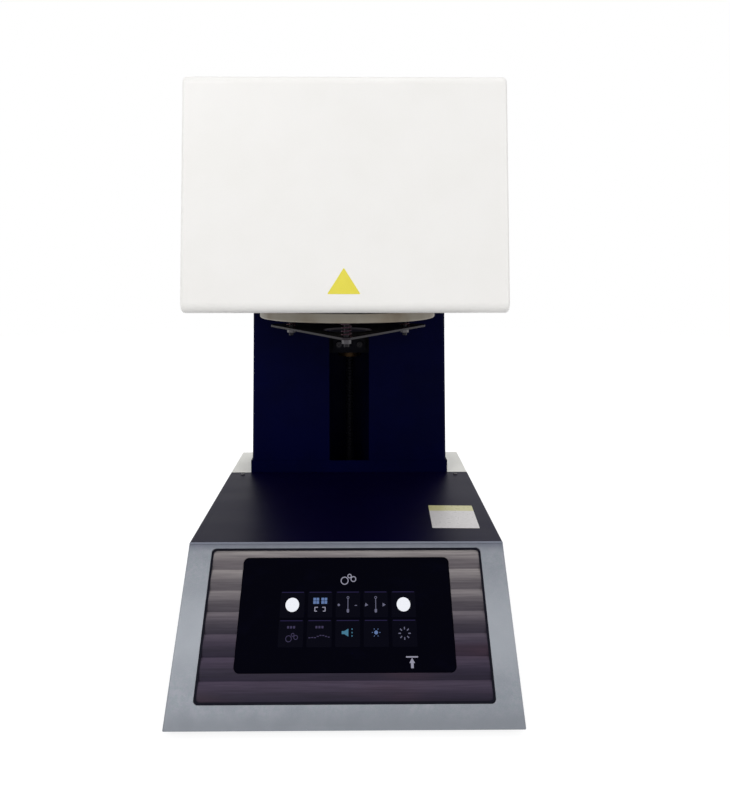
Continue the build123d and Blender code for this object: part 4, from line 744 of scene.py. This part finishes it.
def disc(place, radius, thick, sides, turn=(0, 0, 0), corner=0.0):
    """A thin plate with a round or three-sided outline, its corners rounded where asked."""
    bpy.ops.mesh.primitive_cylinder_add(
        vertices=sides, radius=radius * MM, depth=thick * MM, location=place, rotation=turn
    )
    bpy.ops.object.mode_set(mode="EDIT")
    if corner:
        pick("EDGE", runs_through)
        bpy.ops.mesh.bevel(offset=corner * MM, segments=CORNER_SEGMENTS, affect="EDGES")
    pick("FACE", lambda face: face.normal.z > STRAIGHT_UP)
    bpy.ops.mesh.inset(thickness=thick * MM / 2)
    bpy.ops.object.mode_set(mode="OBJECT")
    return bpy.context.object


def settle(name, material, body="frame", slot="panel_glass"):
    """Names the piece in hand, settles its place into its mesh and hands it to its body."""
    piece = bpy.context.object
    piece.name = name
    piece.data.name = name
    bpy.ops.object.transform_apply(location=True, rotation=True, scale=True)
    piece.data.materials.clear()
    piece.data.materials.append(material.material)
    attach(piece, body)
    bpy.ops.object.select_all(action="DESELECT")


def gather(name, material, parts, **places):
    """Joins parts into one piece and settles it."""
    bpy.ops.object.select_all(action="DESELECT")
    for part in parts:
        part.select_set(True)
    bpy.context.view_layer.objects.active = parts[0]
    bpy.ops.object.join()
    settle(name, material, **places)


# ---------------------------------------------------------------- black strip painted into the shadow gap round the ribbed panel
GAP_SHADE_WIDTH = 2.3
GAP_SHADE_THICK = 0.6
GAP_SHADE_CORNER = 6.0
GAP_SHADE_OUT = -0.35
GAP_SHADE_CLEARANCE = 0.6


def panel_gap_shade():
    """A flat black ring on the ribbed panel's edge, against the wall of the recess: a dark stand-in
    for the shadow in the gap there.
    """
    plate(
        on_slope(0, RECESS_FOOT + RECESS_HEIGHT / 2, GAP_SHADE_OUT),
        (RIB_PANEL_WIDTH / MM, RECESS_HEIGHT - GAP_SHADE_CLEARANCE, GAP_SHADE_THICK),
        GAP_SHADE_CORNER,
        sloped(),
    )
    bpy.ops.object.mode_set(mode="EDIT")
    pick("FACE", is_flat_face)
    bpy.ops.mesh.inset(thickness=GAP_SHADE_WIDTH * MM)
    bpy.ops.mesh.bridge_edge_loops()
    bpy.ops.mesh.select_all(action="SELECT")
    bpy.ops.mesh.normals_make_consistent(inside=False)
    bpy.ops.object.mode_set(mode="OBJECT")
    settle("panel_gap_shade", gap_shade_black, slot="foot_rubber")


panel_gap_shade()

# ---------------------------------------------------------------- marks of the touch display
GLASS_OUT = -1.0
MARK_THICK = 0.1
MARK_GAP = 0.03
DISPLAY_ASIDE = 2.3
DISPLAY_RAISED = -0.4
COLUMN_STEP = 30.3
COLUMNS = [COLUMN_STEP * n for n in (-2, -1, 0, 1, 2)]
UPPER_ROW = 120.3
LOWER_ROW = 90.6
TILES = [(x, up) for x in COLUMNS for up in (UPPER_ROW, LOWER_ROW)]
TILE_SIZE = (26.4, 27.4, 0.04)
TILE_CORNER = 1.0
TILE_GAP = 0.02
HEADER_SIZE = (24.0, 0.8)
HEADER_RISE = 13.2

# Heights of the marks up the slope
SETTINGS_UP = 147.0
BLOCKS_UP = 124.4
STEPS_UP = 120.0
HOOKS_UP = 115.6
STAMPS_UP = 97.2
SIGNS_UP = 91.6
DRAWINGS_UP = 86.6
LIFT_KEY = (67.4, 63.2)

# Sizes of the marks
KEY_RADIUS = 7.4
STAMP_STEP = 3.2
STAMP_SIZE = (2.2, 2.4)
CELL_SIZE = 2.9
CELL_ASIDE = 1.7
BLOCK_ASIDE = 4.4
GAUGE_EYE = 1.1
GAUGE_STEM = (0.8, 10.4)
GAUGE_BULB = (2.6, 4.0)
STEP_ARROW = 2.3
CURVE_STEP = 2.9
CURVE_DASH = (2.2, 0.9)
CURVE_RISES = (0, 0.2, 0.1, 1.4, 2.3, 2.2, 1.3, 0.6)
SOUND_DASH = (1.0, 1.5)


def mark(x, up):
    """The middle of a mark on the glass."""
    return on_slope(x + DISPLAY_ASIDE, up + DISPLAY_RAISED, GLASS_OUT + MARK_THICK / 2 + MARK_GAP)


def bar(x, up, wide, high, corner=0.2, turn=0.0):
    """A flat bar on the glass."""
    return plate(mark(x, up), (wide, high, MARK_THICK), corner, sloped(turn))


def dot(x, up, radius, sides=24):
    """A round spot on the glass."""
    return disc(mark(x, up), radius, MARK_THICK, sides, sloped())


def arrow(x, up, radius, turn):
    """A three-cornered mark on the glass, turned within the slope."""
    return disc(mark(x, up), radius, MARK_THICK, 3, sloped(turn), 0.3)


def ring(x, up, radius, wide, sides=32):
    """A flat band round a circle."""
    bpy.ops.mesh.primitive_torus_add(
        major_radius=radius * MM,
        minor_radius=wide * MM / 2,
        major_segments=sides,
        minor_segments=6,
        location=mark(x, up),
        rotation=sloped(),
    )
    bpy.ops.object.mode_set(mode="EDIT")
    bpy.ops.mesh.select_all(action="SELECT")
    bpy.ops.transform.resize(
        value=(1, 1, MARK_THICK / wide), orient_type="LOCAL", center_override=mark(x, up)
    )
    bpy.ops.object.mode_set(mode="OBJECT")
    return bpy.context.object


def cogs(x, up, size, wide):
    """Three rings that stand for cogs, size being the largest one's radius."""
    return [
        ring(x - 1.1 * size, up - 0.3 * size, size, wide),
        ring(x + 0.3 * size, up + 1.0 * size, 0.5 * size, wide),
        ring(x + 1.4 * size, up + 0.15 * size, 0.68 * size, wide),
    ]


def stamps(x, up):
    """Three small squares in a row."""
    return [bar(x + STAMP_STEP * n, up, *STAMP_SIZE) for n in (-1, 0, 1)]


def gauge(x, up):
    """A rod gauge: a small eye, a stem and a bulb."""
    return [
        ring(x, up + 7.4, GAUGE_EYE, 0.6, 20),
        bar(x, up + 1.0, *GAUGE_STEM),
        bar(x, up - 6.4, *GAUGE_BULB, 1.1),
    ]


def blocks(x, up):
    """Two blocks of four cells."""
    return [
        bar(x + side * BLOCK_ASIDE + across, up + rise, CELL_SIZE, CELL_SIZE)
        for side in (-1, 1)
        for across in (-CELL_ASIDE, CELL_ASIDE)
        for rise in (-CELL_ASIDE, CELL_ASIDE)
    ]


def hooks(x, up):
    """Two brackets that turn back towards each other."""
    parts = []
    for side in (-1, 1):
        parts.append(bar(x + side * 5.6, up, 1.0, 4.4))
        parts.append(bar(x + side * 4.0, up + 2.0, 3.4, 0.9))
        parts.append(bar(x + side * 4.4, up - 2.0, 2.4, 0.9))
    return parts


def spokes(x, up, radius, count, long, wide):
    """Short bars that point at a common middle."""
    turns = [radians(360 / count * n) for n in range(count)]
    return [bar(x + radius * cos(t), up + radius * sin(t), long, wide, 0.2, t) for t in turns]


gather(
    "menu_tiles",
    lit_tile,
    [
        plate(
            on_slope(x + DISPLAY_ASIDE, up, GLASS_OUT + TILE_GAP), TILE_SIZE, TILE_CORNER, sloped()
        )
        for x, up in TILES
    ],
)
gather("menu_header_lines", lit_line, [bar(x, up + HEADER_RISE, *HEADER_SIZE) for x, up in TILES])
gather("settings_mark", lit_grey, cogs(0.4, SETTINGS_UP, 3.9, 1.0))
gather("round_keys", lit_white, [dot(COLUMNS[n], UPPER_ROW, KEY_RADIUS, 48) for n in (0, 4)])
gather("program_blocks", lit_blue, blocks(COLUMNS[1], BLOCKS_UP))
gather("program_hooks", lit_grey, hooks(COLUMNS[1], HOOKS_UP))
gather("level_gauges", lit_pale, gauge(COLUMNS[2], UPPER_ROW) + gauge(COLUMNS[3], UPPER_ROW))
gather(
    "step_marks",
    lit_pale,
    [
        dot(COLUMNS[2] - 10.0, STEPS_UP, 1.3),
        bar(COLUMNS[2] + 8.6, STEPS_UP - 0.6, 2.6, 0.8),
        arrow(COLUMNS[3] - 10.4, STEPS_UP, STEP_ARROW, radians(140)),
        arrow(COLUMNS[3] + 8.6, STEPS_UP, STEP_ARROW, radians(-90)),
    ],
)
gather(
    "cog_key",
    lit_dim,
    cogs(COLUMNS[0] + 1.2, DRAWINGS_UP, 3.0, 0.7) + stamps(COLUMNS[0], STAMPS_UP),
)
gather(
    "curve_key",
    lit_dim,
    [
        bar(COLUMNS[1] - 10.2 + CURVE_STEP * n, DRAWINGS_UP + rise, *CURVE_DASH)
        for n, rise in enumerate(CURVE_RISES)
    ]
    + stamps(COLUMNS[1], STAMPS_UP),
)
gather(
    "speaker_key",
    lit_teal,
    [bar(-5.2, SIGNS_UP, 2.4, 3.0), arrow(-1.6, SIGNS_UP, 4.6, radians(90))]
    + [bar(4.6, SIGNS_UP + rise, *SOUND_DASH) for rise in (-3.4, 0, 3.4)],
)
gather(
    "lamp_key",
    lit_blue,
    [dot(COLUMNS[3], SIGNS_UP, 2.0)] + spokes(COLUMNS[3], SIGNS_UP, 4.0, 6, 1.2, 0.6),
)
gather("dial_key", lit_pale, spokes(COLUMNS[4], LOWER_ROW, 5.2, 8, 2.6, 1.1))
gather(
    "lift_key",
    lit_grey,
    [
        bar(LIFT_KEY[0], LIFT_KEY[1] + 4.2, 12.6, 1.3),
        arrow(*LIFT_KEY, 3.4, 0.0),
        bar(LIFT_KEY[0], LIFT_KEY[1] - 3.6, 2.8, 6.0),
    ],
)

# ---------------------------------------------------------------- plain labels
LABEL_THICK = 0.16
LABEL_OFF = 0.55 * LABEL_THICK * MM  # from the coat under it to a label's middle
LABEL_CORNER = 1.5
HEAD_LABEL_CORNER = 1.2
HEAD_LABEL_SIDE = 35.5
HEAD_LABEL_HEIGHT = 28.0
HEAD_LABEL_FOOT = 21.0
HEAD_LABEL_X = -1.6

plate(
    (LABEL_MIDDLE[0] * MM, LABEL_MIDDLE[1] * MM, DECK_TOP + LABEL_OFF),
    LABEL_SIZE + (LABEL_THICK,),
    LABEL_CORNER,
    (0, 0, LABEL_TURN),
)
settle("deck_label", label_film, slot="pale_enamel")


def head_label():
    """A plain three-cornered label low on the front of the head."""
    corner_radius = HEAD_LABEL_SIDE / (2 * cos(radians(30)))
    middle = (
        HEAD_LABEL_X * MM,
        HEAD_FRONT - LABEL_OFF,
        HEAD_FOOT + (HEAD_LABEL_FOOT + HEAD_LABEL_HEIGHT / 3) * MM,
    )
    disc(middle, corner_radius, LABEL_THICK, 3, (radians(90), 0, 0), HEAD_LABEL_CORNER)
    bpy.ops.object.mode_set(mode="EDIT")
    bpy.ops.mesh.select_all(action="SELECT")
    bpy.ops.transform.resize(
        value=(1, 1, HEAD_LABEL_HEIGHT / (1.5 * corner_radius)),
        orient_type="GLOBAL",
        center_override=middle,
    )
    bpy.ops.object.mode_set(mode="OBJECT")
    settle("head_label", yellow_film, slot="pale_enamel")


head_label()
